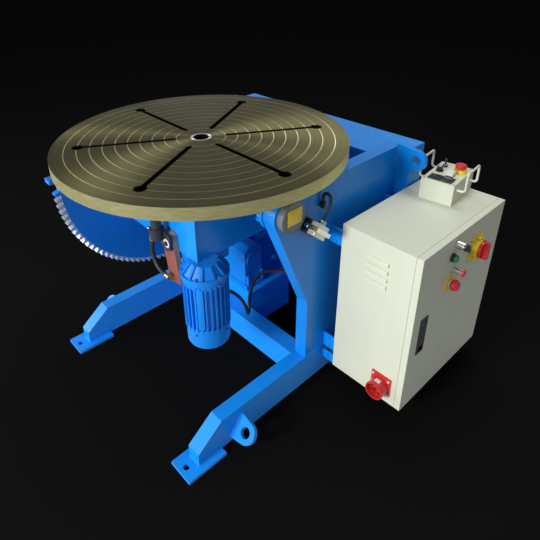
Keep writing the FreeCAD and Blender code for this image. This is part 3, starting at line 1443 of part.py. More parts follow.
node("cabinet_shell", cabinet_shell())
node("cabinet_brackets", cabinet_brackets())
node("switchgear", fuse(mounting_plate(), switchgear()))
node("cabinet_door", cabinet_door())
node("door_hinges", door_hinges())
node("door_bezels", group(device("selector", 30, size.device_radius - 2),
                          device("start", 8, size.device_radius),
                          device("stop", 26, size.device_radius - 2),
                          device("estop", 8, size.device_radius), estop_ring()))
node("start_button", plunger("start", 7.5, (5, 12)))
node("stop_button", plunger("stop", 13, (32, 40)))
node("estop_button", estop_button())
node("mains_switch_base", switch_base())
node("mains_switch_handle", switch_handle())
node("selector_knob", selector_knob())
node("latch_base", latch_base())
node("latch_handle", latch_handle())
node("power_inlet", power_inlet())
node("pendant_box", pendant_box())
node("pendant_guards", pendant_guards())
node("pendant_fittings", group(pendant_display(), pendant_bezels()))
node("pendant_knob", pendant_knob())
node("pendant_toggle", pendant_toggle())
node("pendant_stop", pendant_stop())
node("plug_base", group(plug_base(), *cable_glands()))
node("plug_hood", plug_hood())
node("plug_lever", plug_levers())
node("plug_cable", shape(cable_run(PLUG_CABLE_ROUTE, size.plug_cable_radius.number)))

doc.recompute()
failed = [item.Label for item in doc.Objects if {"Invalid", "Error"} & set(item.State)]
failed += [item.Label for item in nodes if item.Shape.isNull() or not item.Shape.isValid()]
if failed:
    raise RuntimeError("these did not build: " + ", ".join(failed))
os.makedirs("parts", exist_ok=True)
for item in nodes:
    item.Shape.exportStep("parts/%s.step" % item.Label)
    print("%-22s solids %2d  volume %10.0f" % (item.Label, len(item.Shape.Solids), item.Shape.Volume))
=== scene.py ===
import math
import random
import bmesh
import bpy
from mathutils import Matrix, Vector


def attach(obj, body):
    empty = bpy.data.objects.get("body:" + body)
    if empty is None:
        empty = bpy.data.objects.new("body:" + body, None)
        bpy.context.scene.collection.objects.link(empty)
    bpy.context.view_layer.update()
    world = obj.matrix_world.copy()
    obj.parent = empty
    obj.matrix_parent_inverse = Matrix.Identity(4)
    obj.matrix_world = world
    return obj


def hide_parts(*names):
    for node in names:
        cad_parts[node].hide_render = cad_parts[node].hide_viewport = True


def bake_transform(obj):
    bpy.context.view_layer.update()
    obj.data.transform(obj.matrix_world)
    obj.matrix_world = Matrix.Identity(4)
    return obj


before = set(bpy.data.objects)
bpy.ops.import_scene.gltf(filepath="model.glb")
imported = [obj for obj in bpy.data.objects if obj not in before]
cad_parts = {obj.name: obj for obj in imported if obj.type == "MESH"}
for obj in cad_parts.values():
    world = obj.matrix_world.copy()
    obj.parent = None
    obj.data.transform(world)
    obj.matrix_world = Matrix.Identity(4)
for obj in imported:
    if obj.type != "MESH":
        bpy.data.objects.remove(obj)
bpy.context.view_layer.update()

scene = bpy.context.scene
random.seed(7)

# camera and lamps

view = {"spot": (1.3098, -1.1034, 1.5578), "yaw": 48.9, "pitch": -27.3, "roll": -1.6,
        "lens": 33.45, "sensor": 36, "shiftX": 0.0498, "shiftY": -0.145}


def makeCamera():
    data = bpy.data.cameras.new("camera")
    data.lens, data.sensor_width = view["lens"], view["sensor"]
    data.shift_x, data.shift_y = view["shiftX"], view["shiftY"]
    camera = bpy.data.objects.new("camera", data)
    scene.collection.objects.link(camera)
    turn = Matrix.Rotation(math.radians(view["yaw"]), 4, "Z")
    nod = Matrix.Rotation(math.radians(90 + view["pitch"]), 4, "X")
    bank = Matrix.Rotation(math.radians(view["roll"]), 4, "Z")
    camera.matrix_world = Matrix.Translation(view["spot"]) @ turn @ nod @ bank
    scene.camera = camera


lamps = {"key": {"spot": (0.3, -4.2, 2.0), "size": 1.3, "power": 182},
         "fill": {"spot": (-2.6, -3.0, 1.2), "size": 2.0, "power": 45},
         "back": {"spot": (0.1, 1.4, 4.2), "size": 2.2, "power": 60}}
lampAim = (0, 0, 0.6)


def makeLamp(name):
    lamp = lamps[name]
    data = bpy.data.lights.new(name, "AREA")
    data.shape, data.size, data.energy = "DISK", lamp["size"], lamp["power"]
    light = bpy.data.objects.new(name, data)
    scene.collection.objects.link(light)
    light.location = lamp["spot"]
    light.rotation_euler = (Vector(lampAim) - light.location).to_track_quat("-Z", "Y").to_euler()


makeCamera()
for lampName in lamps:
    makeLamp(lampName)
scene.view_settings.view_transform = "Standard"
print("camera and lamps set")


# shader maths: a socket that can be added, multiplied and compared

class Value:
    def __init__(self, maker, socket):
        self.maker, self.socket = maker, socket

    def math(self, operation, *others, clamp=False):
        inputs = {place: other for place, other in enumerate(others, start=1)}
        inputs[0] = self
        node = self.maker.add("Math", {"operation": operation, "use_clamp": clamp}, inputs)
        return Value(self.maker, node.outputs[0])

    def __add__(self, other):
        return self.math("ADD", other)

    def __sub__(self, other):
        return self.math("SUBTRACT", other)

    def __mul__(self, other):
        return self.math("MULTIPLY", other)

    def __truediv__(self, other):
        return self.math("DIVIDE", other)

    def __rsub__(self, other):
        return (self * -1).math("ADD", other)

    def __pow__(self, other):
        return self.math("POWER", other)

    def __abs__(self):
        return self.math("ABSOLUTE")

    __radd__, __rmul__ = __add__, __mul__

    def over(self, edge, soft=0.02):
        return ((self - edge) / soft + 0.5).math("ADD", 0, clamp=True)

    def under(self, edge, soft=0.02):
        return ((edge - self) / soft + 0.5).math("ADD", 0, clamp=True)

    def near(self, middle, reach, soft=0.001):
        return abs(self - middle).under(reach, soft)


class Tree:
    def __init__(self, owner):
        owner.use_nodes = True
        self.nodes, self.links = owner.node_tree.nodes, owner.node_tree.links

    def add(self, kind, settings=None, inputs=None):
        node = self.nodes.new("ShaderNode" + kind)
        for name, value in (settings or {}).items():
            setattr(node, name, value)
        for place, value in (inputs or {}).items():
            self.feed(node.inputs[place], value)
        return node

    def feed(self, socket, value):
        if isinstance(value, Value):
            value = value.socket
        if isinstance(value, bpy.types.NodeSocket):
            self.links.new(value, socket)
        elif socket.type == "RGBA" and len(value) == 3:
            socket.default_value = (*value, 1)
        else:
            socket.default_value = value


class Finish(Tree):
    def __init__(self, name, **sockets):
        self.material = bpy.data.materials.new(name)
        super().__init__(self.material)
        self.shader = self.nodes["Principled BSDF"]
        for socket, value in sockets.items():
            self.set(socket.replace("_", " "), value)
        self.spot = self.add("TexCoord").outputs["Object"]

    def set(self, socket, value):
        self.feed(self.shader.inputs[socket], value)

    def axis(self, name):
        return Value(self, self.add("SeparateXYZ", None, {0: self.spot}).outputs["XYZ".index(name)])

    def noise(self, scale, detail=2, rough=0.5, spot=None, stretch=None):
        spot = spot or self.spot
        if stretch:
            spot = self.add("Mapping", None, {"Vector": spot, "Scale": stretch}).outputs[0]
        node = self.add("TexNoise", None, {"Vector": spot, "Scale": scale, "Detail": detail,
                                           "Roughness": rough})
        return Value(self, node.outputs[0])

    def mix(self, factor, low, high):
        return self.add("Mix", {"data_type": "RGBA"}, {0: factor, 6: low, 7: high}).outputs[2]

    def normal(self, name):
        normal = self.add("NewGeometry").outputs["Normal"]
        return Value(self, self.add("SeparateXYZ", None, {0: normal}).outputs["XYZ".index(name)])

    def ring(self, centreX, centreY, first="X", second="Y"):
        x, y = self.axis(first) - centreX, self.axis(second) - centreY
        return (x * x + y * y) ** 0.5

    def along(self, value):
        return self.add("CombineXYZ", None, {0: value}).outputs[0]

    def bump(self, height, strength, distance):
        edge = self.add("Bump", None, {"Height": height, "Strength": strength,
                                       "Distance": distance})
        self.set("Normal", edge.outputs["Normal"])


# finishes

enamelLook = {"cloud": 2.6, "streak": 9, "dust": 26, "dustTone": (0.42, 0.44, 0.46),
              "chip": 55, "chipTone": (0.16, 0.16, 0.17), "orangePeel": 420, "wave": 34}


def makeEnamel(name, colour, shade, gloss=0.32, grime=0.5, coat=0.12):
    look = enamelLook
    f = Finish(name, Coat_Weight=coat, Coat_Roughness=0.15, Specular_IOR_Level=0.35)
    cloud = f.noise(look["cloud"], 3, 0.6)
    streak = f.noise(look["streak"], 4, 0.65, stretch=(3, 3, 0.35))
    dirt = (streak.over(0.62, 0.25) * grime * 0.5).math("ADD", 0, clamp=True)
    paint = f.mix(cloud.over(0.5, 0.6), shade, colour)
    dusty = f.normal("Z").over(0.85, 0.2) * f.noise(look["dust"], 4).over(0.45, 0.4) * 0.06 * grime
    paint = f.mix(dusty, paint, look["dustTone"])
    chip = f.noise(look["chip"], 3, 0.7).over(0.74, 0.02) * f.noise(6, 1).over(0.52, 0.1)
    paint = f.mix(dirt * 0.35, paint, tuple(0.25 * channel for channel in shade))
    f.set("Base Color", f.mix(chip * 0.75, paint, look["chipTone"]))
    f.set("Roughness", f.noise(18, 3) * 0.12 + gloss - 0.06 + dirt * 0.25)
    peel = f.noise(look["orangePeel"], 2) * 0.6 + f.noise(look["wave"], 3) * 0.9 - chip * 0.8
    f.bump(peel, 0.25, 0.0006)
    return f


def makePlastic(name, colour, gloss=0.35, grain=0.12):
    f = Finish(name)
    tone = tuple(0.72 * channel for channel in colour)
    f.set("Base Color", f.mix(f.noise(40, 3).over(0.5, 0.7), tone, colour))
    f.set("Roughness", f.noise(120, 3) * 0.14 + gloss - 0.07)
    f.bump(f.noise(900, 2), grain, 0.0003)
    return f


def makeMetal(name, colour, dark, gloss=0.28, lines=(1, 1, 1)):
    f = Finish(name, Metallic=1.0)
    brush = f.noise(300, 2, 0.6, stretch=lines)
    stain = f.noise(14, 4, 0.6)
    f.set("Base Color", f.mix(stain.over(0.55, 0.5) * 0.6, colour, dark))
    f.set("Roughness", brush * 0.16 + stain * 0.14 + gloss - 0.13)
    f.bump(brush, 0.12, 0.0003)
    return f


table = {"y": -0.145, "cut": 900, "feed": 60, "bore": 0.036,
         "firstRing": 0.085, "ringPitch": 0.041, "ringsFrom": 0.07, "ringsTo": 0.475,
         # painted shadow: the slot sides and the hollow underneath the table, out to a radius of
         # 0.44, take the near-black tone listed last
         "flange": 0.455, "recess": 0.44, "face": 0.9385,
         # the dark olive top tones are partly the metal's own tone and partly a painted dark
         # reflection; the bright gold rim tones are a painted highlight on the side faces
         "low": (0.135, 0.122, 0.055), "high": (0.2, 0.182, 0.088), "stain": (0.12, 0.11, 0.06),
         "scribed": (0.8, 0.75, 0.48), "boreTone": (0.78, 0.78, 0.72),
         "rimHighlightLow": (0.62, 0.56, 0.24), "rimHighlightHigh": (0.84, 0.78, 0.4), "inside": (0.05, 0.045, 0.04)}


def makeTable():
    t = table
    f = Finish("turnedTable", Metallic=1.0, Anisotropic=0.9)
    radius = f.ring(0, t["y"])
    # turning marks: fine concentric lines of uneven depth
    cut = f.noise(1, 3, 0.7, spot=f.along(radius * t["cut"]))
    feed = f.noise(1, 2, 0.5, spot=f.along(radius * t["feed"]))
    topFace = f.normal("Z").over(0.7, 0.1)
    # light scribed rings between the slots
    turn = (radius - t["firstRing"]) / t["ringPitch"]
    scribe = abs(turn - turn.math("ROUND")).under(0.035, 0.03)
    scribe = scribe * radius.over(t["ringsFrom"], 0.004) * radius.under(t["ringsTo"], 0.004)
    stain = f.noise(7, 5, 0.65).over(0.6, 0.25) * 0.5
    # the top: partly the turned metal's own tone, partly a painted dark reflection
    olive = f.mix(feed.over(0.5, 0.5) * 0.7, t["low"], t["high"])
    olive = f.mix(stain, olive, t["stain"])
    olive = f.mix(scribe * topFace, olive, t["scribed"])
    olive = f.mix(radius.under(t["bore"], 0.002) * topFace, olive, t["boreTone"])
    # the side faces: a bright gold painted highlight, far lighter than the top
    rim = f.mix(f.noise(30, 3, stretch=(1, 1, 8)).over(0.5, 0.5), t["rimHighlightLow"], t["rimHighlightHigh"])
    # sides of the slots and the hollow underneath: rougher, and out to a radius of 0.44 given a
    # near-black painted shadow
    inside = radius.under(t["flange"], 0.002) * f.normal("Z").under(0.5, 0.1)
    inside = inside * f.axis("Z").under(t["face"], 0.0008)
    paintedShadow = inside * radius.under(t["recess"], 0.01)
    f.set("Base Color", f.mix(paintedShadow, f.mix(topFace, rim, olive), t["inside"]))
    f.set("Roughness", cut * 0.16 + 0.31 + stain * 0.16 + inside * 0.2)
    f.bump(cut * topFace + feed * 0.6 * topFace, 0.35, 0.0005)
    return f


tilt = {"y": -0.139, "z": 0.795}                         # the axis that the carriage tilts about
sector = {"root": 0.4335, "first": -3.1, "last": -1.02, "bare": (0.62, 0.62, 0.6)}


def makeSector():
    f = makeEnamel("sectorPaint", (0.002, 0.225, 0.78), (0.002, 0.15, 0.56), 0.36)
    radius = f.ring(tilt["y"], tilt["z"], "Y", "Z")
    y, z = f.axis("Y") - tilt["y"], f.axis("Z") - tilt["z"]
    angle = z.math("ARCTAN2", y)                         # from the back horizontal
    bare = radius.over(sector["root"], 0.002) * angle.under(sector["last"], 0.02)
    bare = bare * angle.over(sector["first"], 0.02)
    paint = f.shader.inputs["Base Color"].links[0].from_socket
    worn = f.noise(90, 3).over(0.42, 0.3) * bare
    f.set("Base Color", f.mix(worn, paint, sector["bare"]))
    f.set("Metallic", worn)
    return f


boardLook = {"face": (0.3, 0.085, 0.055), "vein": (0.2, 0.055, 0.04), "stain": (0.11, 0.05, 0.04),
             "side": (0.52, 0.33, 0.17), "layer": (0.36, 0.2, 0.1)}


def makeBoard():
    look = boardLook
    f = Finish("laminateBoard")
    facing = abs(f.normal("Y"))
    grain = f.noise(60, 5, 0.7, stretch=(1, 1, 0.25))
    face = f.mix(grain.over(0.5, 0.5), look["face"], look["vein"])
    face = f.mix(f.noise(11, 3).over(0.6, 0.2) * 0.6, face, look["stain"])
    layers = f.noise(500, 2, stretch=(0.2, 1, 0.2)).over(0.5, 0.4)
    side = f.mix(layers, look["side"], look["layer"])
    f.set("Base Color", f.mix(facing.over(0.6, 0.1), side, face))
    f.set("Roughness", grain * 0.2 + 0.42)
    f.bump(grain, 0.3, 0.0006)
    return f


def makeParts(name, base, *zones):
    # small fittings in one node, each with a colour, metalness and roughness of its own
    f = Finish(name)
    colour, metal, rough = base
    wear = f.noise(70, 3)
    for area, (zoneColour, zoneMetal, zoneRough) in zones:
        mask = area(f)
        colour = f.mix(mask, colour, zoneColour)
        metal = mask * (zoneMetal - metal) + metal
        rough = mask * (zoneRough - rough) + rough
    f.set("Base Color", f.mix(wear.over(0.66, 0.2) * 0.18, colour, (0.1, 0.1, 0.1)))
    f.set("Metallic", metal)
    f.set("Roughness", wear * 0.12 + rough)
    f.bump(f.noise(700, 2), 0.1, 0.0003)
    return f


enamel = makeEnamel("azureEnamel", (0.002, 0.3, 0.95), (0.002, 0.25, 0.84))
casting = makeEnamel("azureCasting", (0.002, 0.265, 0.9), (0.002, 0.17, 0.62), 0.34, 0.8)
deepEnamel = makeEnamel("uprightEnamel", (0.002, 0.265, 0.88), (0.002, 0.215, 0.74), 0.34)
cream = makeEnamel("creamPowderCoat", (0.7, 0.73, 0.585), (0.655, 0.685, 0.545), 0.44, 0.25, 0.08)
greyEnamel = makeEnamel("greyCover", (0.18, 0.2, 0.22), (0.12, 0.14, 0.16), 0.36)
steel = makeMetal("machinedSteel", (0.62, 0.62, 0.63), (0.3, 0.29, 0.28), 0.3, (1, 1, 6))
oiledGear = makeMetal("oiledGear", (0.42, 0.41, 0.4), (0.16, 0.14, 0.11), 0.34)
zinc = makeMetal("zincPlate", (0.72, 0.73, 0.74), (0.48, 0.48, 0.45), 0.34)
chrome = makeMetal("chrome", (0.82, 0.83, 0.84), (0.62, 0.63, 0.64), 0.16)
brass = makeMetal("brassLug", (0.8, 0.58, 0.24), (0.46, 0.3, 0.12), 0.3)
dieCast = makeMetal("dieCast", (0.66, 0.67, 0.68), (0.46, 0.47, 0.48), 0.42)
blackPlastic = makePlastic("blackPlastic", (0.022, 0.022, 0.025), 0.42)
darkSteel = makePlastic("blackOxide", (0.035, 0.035, 0.04), 0.34)
redPlastic = makePlastic("redPlastic", (0.72, 0.03, 0.035), 0.26)
yellowPlastic = makePlastic("yellowPlastic", (0.95, 0.7, 0.02), 0.3)
greenPlastic = makePlastic("greenPlastic", (0.02, 0.3, 0.16), 0.24)
carbon = makePlastic("carbon", (0.04, 0.04, 0.045), 0.55, 0.3)
rubber = makePlastic("cableSheath", (0.018, 0.018, 0.02), 0.48, 0.2)
whiteNylon = makePlastic("whiteNylon", (0.8, 0.78, 0.7), 0.4)
paleBlock = makePlastic("paleBlock", (0.46, 0.48, 0.44), 0.45)
blackGlass = makePlastic("blackGlass", (0.012, 0.012, 0.014), 0.14, 0.02)
guardPaint = makeEnamel("guardPaint", (0.74, 0.75, 0.66), (0.66, 0.67, 0.58), 0.34, 0.2, 0.1)

chromeLook, blackLook = ((0.8, 0.81, 0.82), 1.0, 0.1), ((0.02, 0.02, 0.022), 0.0, 0.34)
yellowLook, redLook = ((0.93, 0.72, 0.03), 0.0, 0.26), ((0.7, 0.03, 0.035), 0.0, 0.22)
creamLook, whiteLook = ((0.6, 0.61, 0.5), 0.0, 0.36), ((0.78, 0.78, 0.74), 0.0, 0.32)
doorFace = 0.756
startButton = {"y": 0.25, "z": 0.629, "reach": 0.02}
emergencyStop = {"y": 0.266, "z": 0.52, "collar": 0.032, "bezel": 0.016, "bore": 0.0155,
                 "collarFrom": 0.755, "collarTo": 0.7605}
stopChrome = 0.789                                       # chrome bezel below this x, red cap above
doorInside = 0.7545
handStop = {"centre": (0.6064, 0.5363), "reach": 0.0225}
handLabel = {"centre": (0.5977, 0.4851), "reach": 0.02, "above": 0.7861}


def stopCollar(f):
    e = emergencyStop
    band = f.axis("Z").near(e["z"], e["collar"]) * f.axis("X").under(e["collarTo"], 0.0005)
    return (band * f.axis("X").over(e["collarFrom"], 0.0005)
            * f.ring(e["y"], e["z"], "Y", "Z").over(e["bore"], 0.0004))


def stopBezel(f):
    e = emergencyStop
    return (f.axis("Z").near(e["z"], e["bezel"], 0.0005)
            * f.ring(e["y"], e["z"], "Y", "Z").under(e["bore"], 0.0004))


bezels = makeParts(
    "doorBezels", chromeLook,
    (lambda f: f.axis("Z").near(startButton["z"], startButton["reach"]), blackLook),
    (stopCollar, yellowLook), (stopBezel, creamLook),
    (lambda f: f.axis("X").under(doorInside, 0.0005), blackLook))
stopCap = makeParts("stopCap", redLook,
                    (lambda f: f.axis("X").under(stopChrome, 0.0005), chromeLook))
handBoxParts = makeParts(
    "handBoxParts", blackLook,
    (lambda f: f.ring(*handStop["centre"]).under(handStop["reach"], 0.0004), yellowLook),
    (lambda f: f.ring(*handLabel["centre"]).under(handLabel["reach"], 0.0004)
     * f.axis("Z").over(handLabel["above"], 0.0002), whiteLook))
turnedTable, sectorPaint, board = makeTable(), makeSector(), makeBoard()

nodeFinish = {
    enamel: ("leg_right", "leg_left", "foot_plates", "cross_beams", "rear_posts", "rear_plates",
             "lifting_ears", "drive_bed", "carriage_box", "tilt_bearings"),
    deepEnamel: ("side_frame_right", "side_frame_left"),
    casting: ("slew_motor", "slew_motor_cowl", "tilt_motor", "tilt_motor_cowl", "pinion_gearbox",
              "worm_reducer", "slew_reducer", "spindle_bearings"),
    turnedTable: ("table_plate",), sectorPaint: ("sector_gear",), board: ("insulator_board",),
    steel: ("table_spindle", "trunnions"), oiledGear: ("slew_gear", "slew_pinion", "tilt_pinion"),
    zinc: ("bearing_bolts", "cabinet_brackets", "door_hinges"), guardPaint: ("pendant_guards",),
    greyEnamel: ("end_covers",), darkSteel: ("brush_holder",), carbon: ("carbon_brush",),
    rubber: ("brush_lead", "motor_cable", "plug_cable"), brass: ("lead_lug",),
    cream: ("cabinet_shell", "cabinet_door", "pendant_box"), paleBlock: ("switchgear",),
    bezels: ("door_bezels",), greenPlastic: ("start_button",), stopCap: ("stop_button",),
    redPlastic: ("estop_button", "mains_switch_handle", "power_inlet", "pendant_stop"),
    yellowPlastic: ("mains_switch_base",),
    blackPlastic: ("selector_knob", "latch_base", "latch_handle", "pendant_knob",
                   "pendant_toggle", "plug_base"),
    handBoxParts: ("pendant_fittings",), dieCast: ("plug_hood",), chrome: ("plug_lever",)}
for finish, names in nodeFinish.items():
    for name in names:
        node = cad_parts[name]
        node.data.materials.clear()
        node.data.materials.append(finish.material)
print("finishes made")


# modelling helpers

def clearAll():
    if bpy.context.object and bpy.context.object.mode != "OBJECT":
        bpy.ops.object.mode_set(mode="OBJECT")
    bpy.ops.object.select_all(action="DESELECT")


def pick(*pieces):
    clearAll()
    for piece in pieces:
        piece.select_set(True)
    bpy.context.view_layer.objects.active = pieces[0]


def settle(piece):
    # puts the piece's place and turn into its mesh
    pick(piece)
    bpy.ops.object.transform_apply(location=True, rotation=True, scale=True)
    return piece


slots = {enamel: "frame_paint", casting: "motor_paint", greyEnamel: "cover_paint",
         cream: "cabinet_paint", guardPaint: "zinc", zinc: "zinc", chrome: "device_metal",
         brass: "brass", dieCast: "plug_metal", rubber: "cable_rubber",
         blackPlastic: "black_plastic", darkSteel: "black_plastic", blackGlass: "black_plastic",
         redPlastic: "red_plastic", yellowPlastic: "yellow_plastic",
         greenPlastic: "green_plastic", whiteNylon: "device_plastic"}


def done(piece, name, body, finish, smooth=35, slot=None):
    # finishes a piece, names it and lets it ride a body
    slot = slot or slots[finish]
    settle(piece)
    piece.name = name
    piece.data.materials.clear()
    piece.data.materials.append(finish.material)
    bpy.ops.object.shade_smooth_by_angle(angle=math.radians(smooth))
    clearAll()
    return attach(piece, body)


def modify(piece, kind, **settings):
    modifier = piece.modifiers.new(kind.lower(), kind)
    for name, value in settings.items():
        setattr(modifier, name, value)
    bpy.context.view_layer.objects.active = piece
    bpy.ops.object.modifier_apply(modifier=modifier.name)


def grab(piece, test):
    mesh = bmesh.from_edit_mesh(piece.data)
    for face in mesh.faces:
        face.select_set(bool(test(face)))
    bmesh.update_edit_mesh(piece.data)


def press(piece, axis, rim, depth):
    # sinks the middle of the large face on the given side, inside a raised rim
    way = Vector((axis == "X", axis == "Y", axis == "Z"))
    bpy.ops.object.mode_set(mode="EDIT")
    grab(piece, lambda face: face.normal.dot(way) > 0.9 and face.calc_area() > 0.001)
    bpy.ops.mesh.inset(thickness=rim)
    bpy.ops.transform.translate(value=way * -depth)
    bpy.ops.object.mode_set(mode="OBJECT")
    return piece


def addRound(radius, height, sides=24, bevel=0.0008):
    clearAll()
    bpy.ops.mesh.primitive_cylinder_add(vertices=sides, radius=radius, depth=height,
                                        location=(0, 0, height / 2))
    piece = bpy.context.object
    bpy.ops.object.transform_apply(location=True)
    if bevel:
        modify(piece, "BEVEL", width=bevel, segments=2, limit_method="ANGLE")
    return piece


def addBlock(size, bevel=0.001):
    clearAll()
    bpy.ops.mesh.primitive_cube_add(size=1)
    piece = bpy.context.object
    piece.scale = size
    bpy.ops.object.transform_apply(scale=True)
    modify(piece, "BEVEL", width=bevel, segments=2, limit_method="ANGLE")
    return piece


def addHexBolt(across):
    # washer and chamfered hexagon head, along +Z from 0
    clearAll()
    bpy.ops.mesh.primitive_cylinder_add(vertices=6, radius=across / math.sqrt(3),
                                        depth=0.62 * across, location=(0, 0, 0.43 * across))
    head = bpy.context.object
    bpy.ops.object.transform_apply(location=True)
    bpy.ops.object.mode_set(mode="EDIT")
    grab(head, lambda face: face.normal.z > 0.9)
    bpy.ops.mesh.inset(thickness=0.1 * across)
    bpy.ops.transform.translate(value=(0, 0, 0.06 * across))
    bpy.ops.object.mode_set(mode="OBJECT")
    washer = addRound(0.92 * across, 0.12 * across, 20, 0.03 * across)
    return joinAll([head, washer])


def addSocketScrew(radius):
    # round cap with a socket, along +Z from 0
    screw = addRound(radius, 1.1 * radius, 24, 0)
    bpy.ops.object.mode_set(mode="EDIT")
    grab(screw, lambda face: face.normal.z > 0.9)
    bpy.ops.mesh.inset(thickness=0.45 * radius)
    bpy.ops.mesh.extrude_region_move(TRANSFORM_OT_translate={"value": (0, 0, -0.6 * radius)})
    bpy.ops.object.mode_set(mode="OBJECT")
    modify(screw, "BEVEL", width=0.08 * radius, segments=1, limit_method="ANGLE")
    return screw


def joinAll(pieces):
    pick(*pieces)
    if len(pieces) > 1:
        bpy.ops.object.join()
    return bpy.context.view_layer.objects.active


turns = {"X": (0, math.pi / 2, 0), "-X": (0, -math.pi / 2, 0), "Y": (-math.pi / 2, 0, 0),
         "-Y": (math.pi / 2, 0, 0), "Z": (0, 0, 0), "-Z": (math.pi, 0, 0)}


def moved(piece, spot, facing="Z"):
    piece.rotation_euler = turns[facing]
    piece.location = spot
    return settle(piece)


def swung(piece, axis, degrees, about):
    spot = Matrix.Translation(about)
    turn = Matrix.Rotation(math.radians(degrees), 4, axis)
    piece.matrix_world = spot @ turn @ spot.inverted() @ piece.matrix_world
    return settle(piece)


def copyOf(pattern):
    copy = pattern.copy()
    copy.data = pattern.data.copy()
    scene.collection.objects.link(copy)
    return copy


def repeat(pattern, spots, facing="Z"):
    copies = [moved(copyOf(pattern), spot, facing) for spot in spots]
    bpy.data.objects.remove(pattern)
    return joinAll(copies)


def around(pattern, axis, about, count, start=0):
    copies = [swung(copyOf(pattern), axis, start + 360 * index / count, about)
              for index in range(count)]
    bpy.data.objects.remove(pattern)
    return joinAll(copies)


def addBolts(name, body, across, spots, facing="Z", finish=zinc):
    return done(repeat(addHexBolt(across), spots, facing), name, body, finish)


def circle(centre, radius, count, start=0, plane="XY"):
    first, second = ("XYZ".index(name) for name in plane)
    spots = []
    for index in range(count):
        angle = start + 2 * math.pi * index / count
        spot = list(centre)
        spot[first] += radius * math.cos(angle)
        spot[second] += radius * math.sin(angle)
        spots.append(spot)
    return spots


def corners(across, up):
    return [(a * across, b * up) for a in (-1, 1) for b in (-1, 1)]


def rectangle(first, second):
    (left, right), (low, high) = first, second
    return [(left, low), (right, low), (right, high), (left, high)]


def newCurve(name, radius, rounding):
    curve = bpy.data.curves.new(name, "CURVE")
    curve.dimensions = "3D"
    curve.bevel_depth, curve.bevel_resolution, curve.use_fill_caps = radius, rounding, True
    return curve


def addSpline(curve, kind, route):
    spline = curve.splines.new(kind)
    spline.points.add(len(route) - 1)
    for point, spot in zip(spline.points, route):
        point.co = (*spot, 1)
    return spline


def place(name, data):
    piece = bpy.data.objects.new(name, data)
    scene.collection.objects.link(piece)
    return piece


def asMesh(piece):
    pick(piece)
    bpy.ops.object.convert(target="MESH")
    return bpy.context.object


def addLoop(route, radius, rounding=2):
    # a closed ring of round bar
    curve = newCurve("tube", radius, rounding)
    addSpline(curve, "POLY", route).use_cyclic_u = True
    return asMesh(place("tube", curve))


def addBead(runs, radius, ripple=0.0045):
    # weld beads: a half-round run whose width rises and falls along it
    curve = newCurve("bead", radius, 1)
    for first, last in runs:
        first, last = Vector(first), Vector(last)
        steps = max(2, round((last - first).length / ripple))
        spline = addSpline(curve, "POLY", [first.lerp(last, index / steps)
                                           for index in range(steps + 1)])
        for index, point in enumerate(spline.points):
            point.radius = (0.82, 1.08)[index % 2] + random.uniform(-0.08, 0.08)
    return asMesh(place("bead", curve))


# weld seams

standSeams = {"radius": 0.0035, "legX": (0.357, 0.41), "footY": (0.446, 0.541), "footTop": 0.0125,
              "uprightX": (0.36, 0.4095), "uprightY": (-0.034, 0.445), "legTop": 0.14,
              "beamY": ((-0.043, 0.023), (0.455, 0.521)), "beamZ": (0.014, 0.123),
              "backZ": (0.142, 0.842), "earMiddle": (0.41, -0.367, 0.062), "earHalf": 0.0456,
              "earThick": 0.016, "earLean": math.radians(50), "rearEarY": 0.429,
              "rearEarZ": (0.777, 0.854)}
carriageSeams = {"radius": 0.003, "x": (-0.243, 0.172), "y": (-0.32, 0.03), "z": (0.59, 0.862),
                 "inset": 0.002}


def makeStandWelds():
    s = standSeams
    (inner, outer), (near, far), top = s["legX"], s["footY"], s["footTop"]
    runs = []
    for x in (inner, outer):
        runs += [((x, -far, top), (x, -near, top)), ((x, near, top), (x, far, top))]
    runs += [((inner, y, top), (outer, y, top)) for y in (-far, far)]
    front, back = s["uprightY"]
    runs += [((x, front, s["legTop"]), (x, back, s["legTop"])) for x in s["uprightX"]]
    low, high = s["beamZ"]
    runs += [((inner, y, low), (inner, y, high)) for beam in s["beamY"] for y in beam]
    runs += [((inner, first, high), (inner, last, high)) for first, last in s["beamY"]]
    low, high = s["backZ"]
    runs += [((outer, back, low), (outer, back, high))]
    along = Vector((0, math.cos(s["earLean"]), math.sin(s["earLean"])))
    up = Vector((0, -along.z, along.y))
    for side in (0, s["earThick"]):
        middle = Vector(s["earMiddle"]) + up * side
        runs.append((tuple(middle - along * s["earHalf"]), tuple(middle + along * s["earHalf"])))
    low, high = s["rearEarZ"]
    runs.append(((outer, s["rearEarY"], low), (outer, s["rearEarY"], high)))
    runs += [tuple((-x, y, z) for x, y, z in run) for run in runs]      # the left side's
    return done(addBead(runs, s["radius"]), "standWelds", "stand", enamel, 60)


def makeCarriageWelds():
    s = carriageSeams
    (left, right), (front, back), (low, high) = s["x"], s["y"], s["z"]
    runs = [((x, front, low + s["inset"]), (x, front, high - s["inset"])) for x in (left, right)]
    runs += [((left, front, z), (right, front, z)) for z in (low, high)]
    runs += [((right, front, z), (right, back, z)) for z in (low, high)]
    bead = addBead(runs, s["radius"])
    return done(bead, "carriageWelds", "carriage", enamel, 60)


makeStandWelds()
makeCarriageWelds()
print("weld seams made")


# carriage: bearings, sector and turning drive

carriageBolts = {
    "bearing": {"centre": (0, -0.145, 0.872), "circle": 0.088, "count": 8, "across": 0.009},
    "trunnionBolts": {"faces": ((0.188, "X"), (-0.284, "-X")), "circle": 0.051, "count": 8,
                      "across": 0.013, "start": 0.2},
    "sectorBolts": {"faces": ((-0.2685, "-X"),), "circle": 0.088, "count": 10,
                    "across": 0.013, "start": 0.1}}


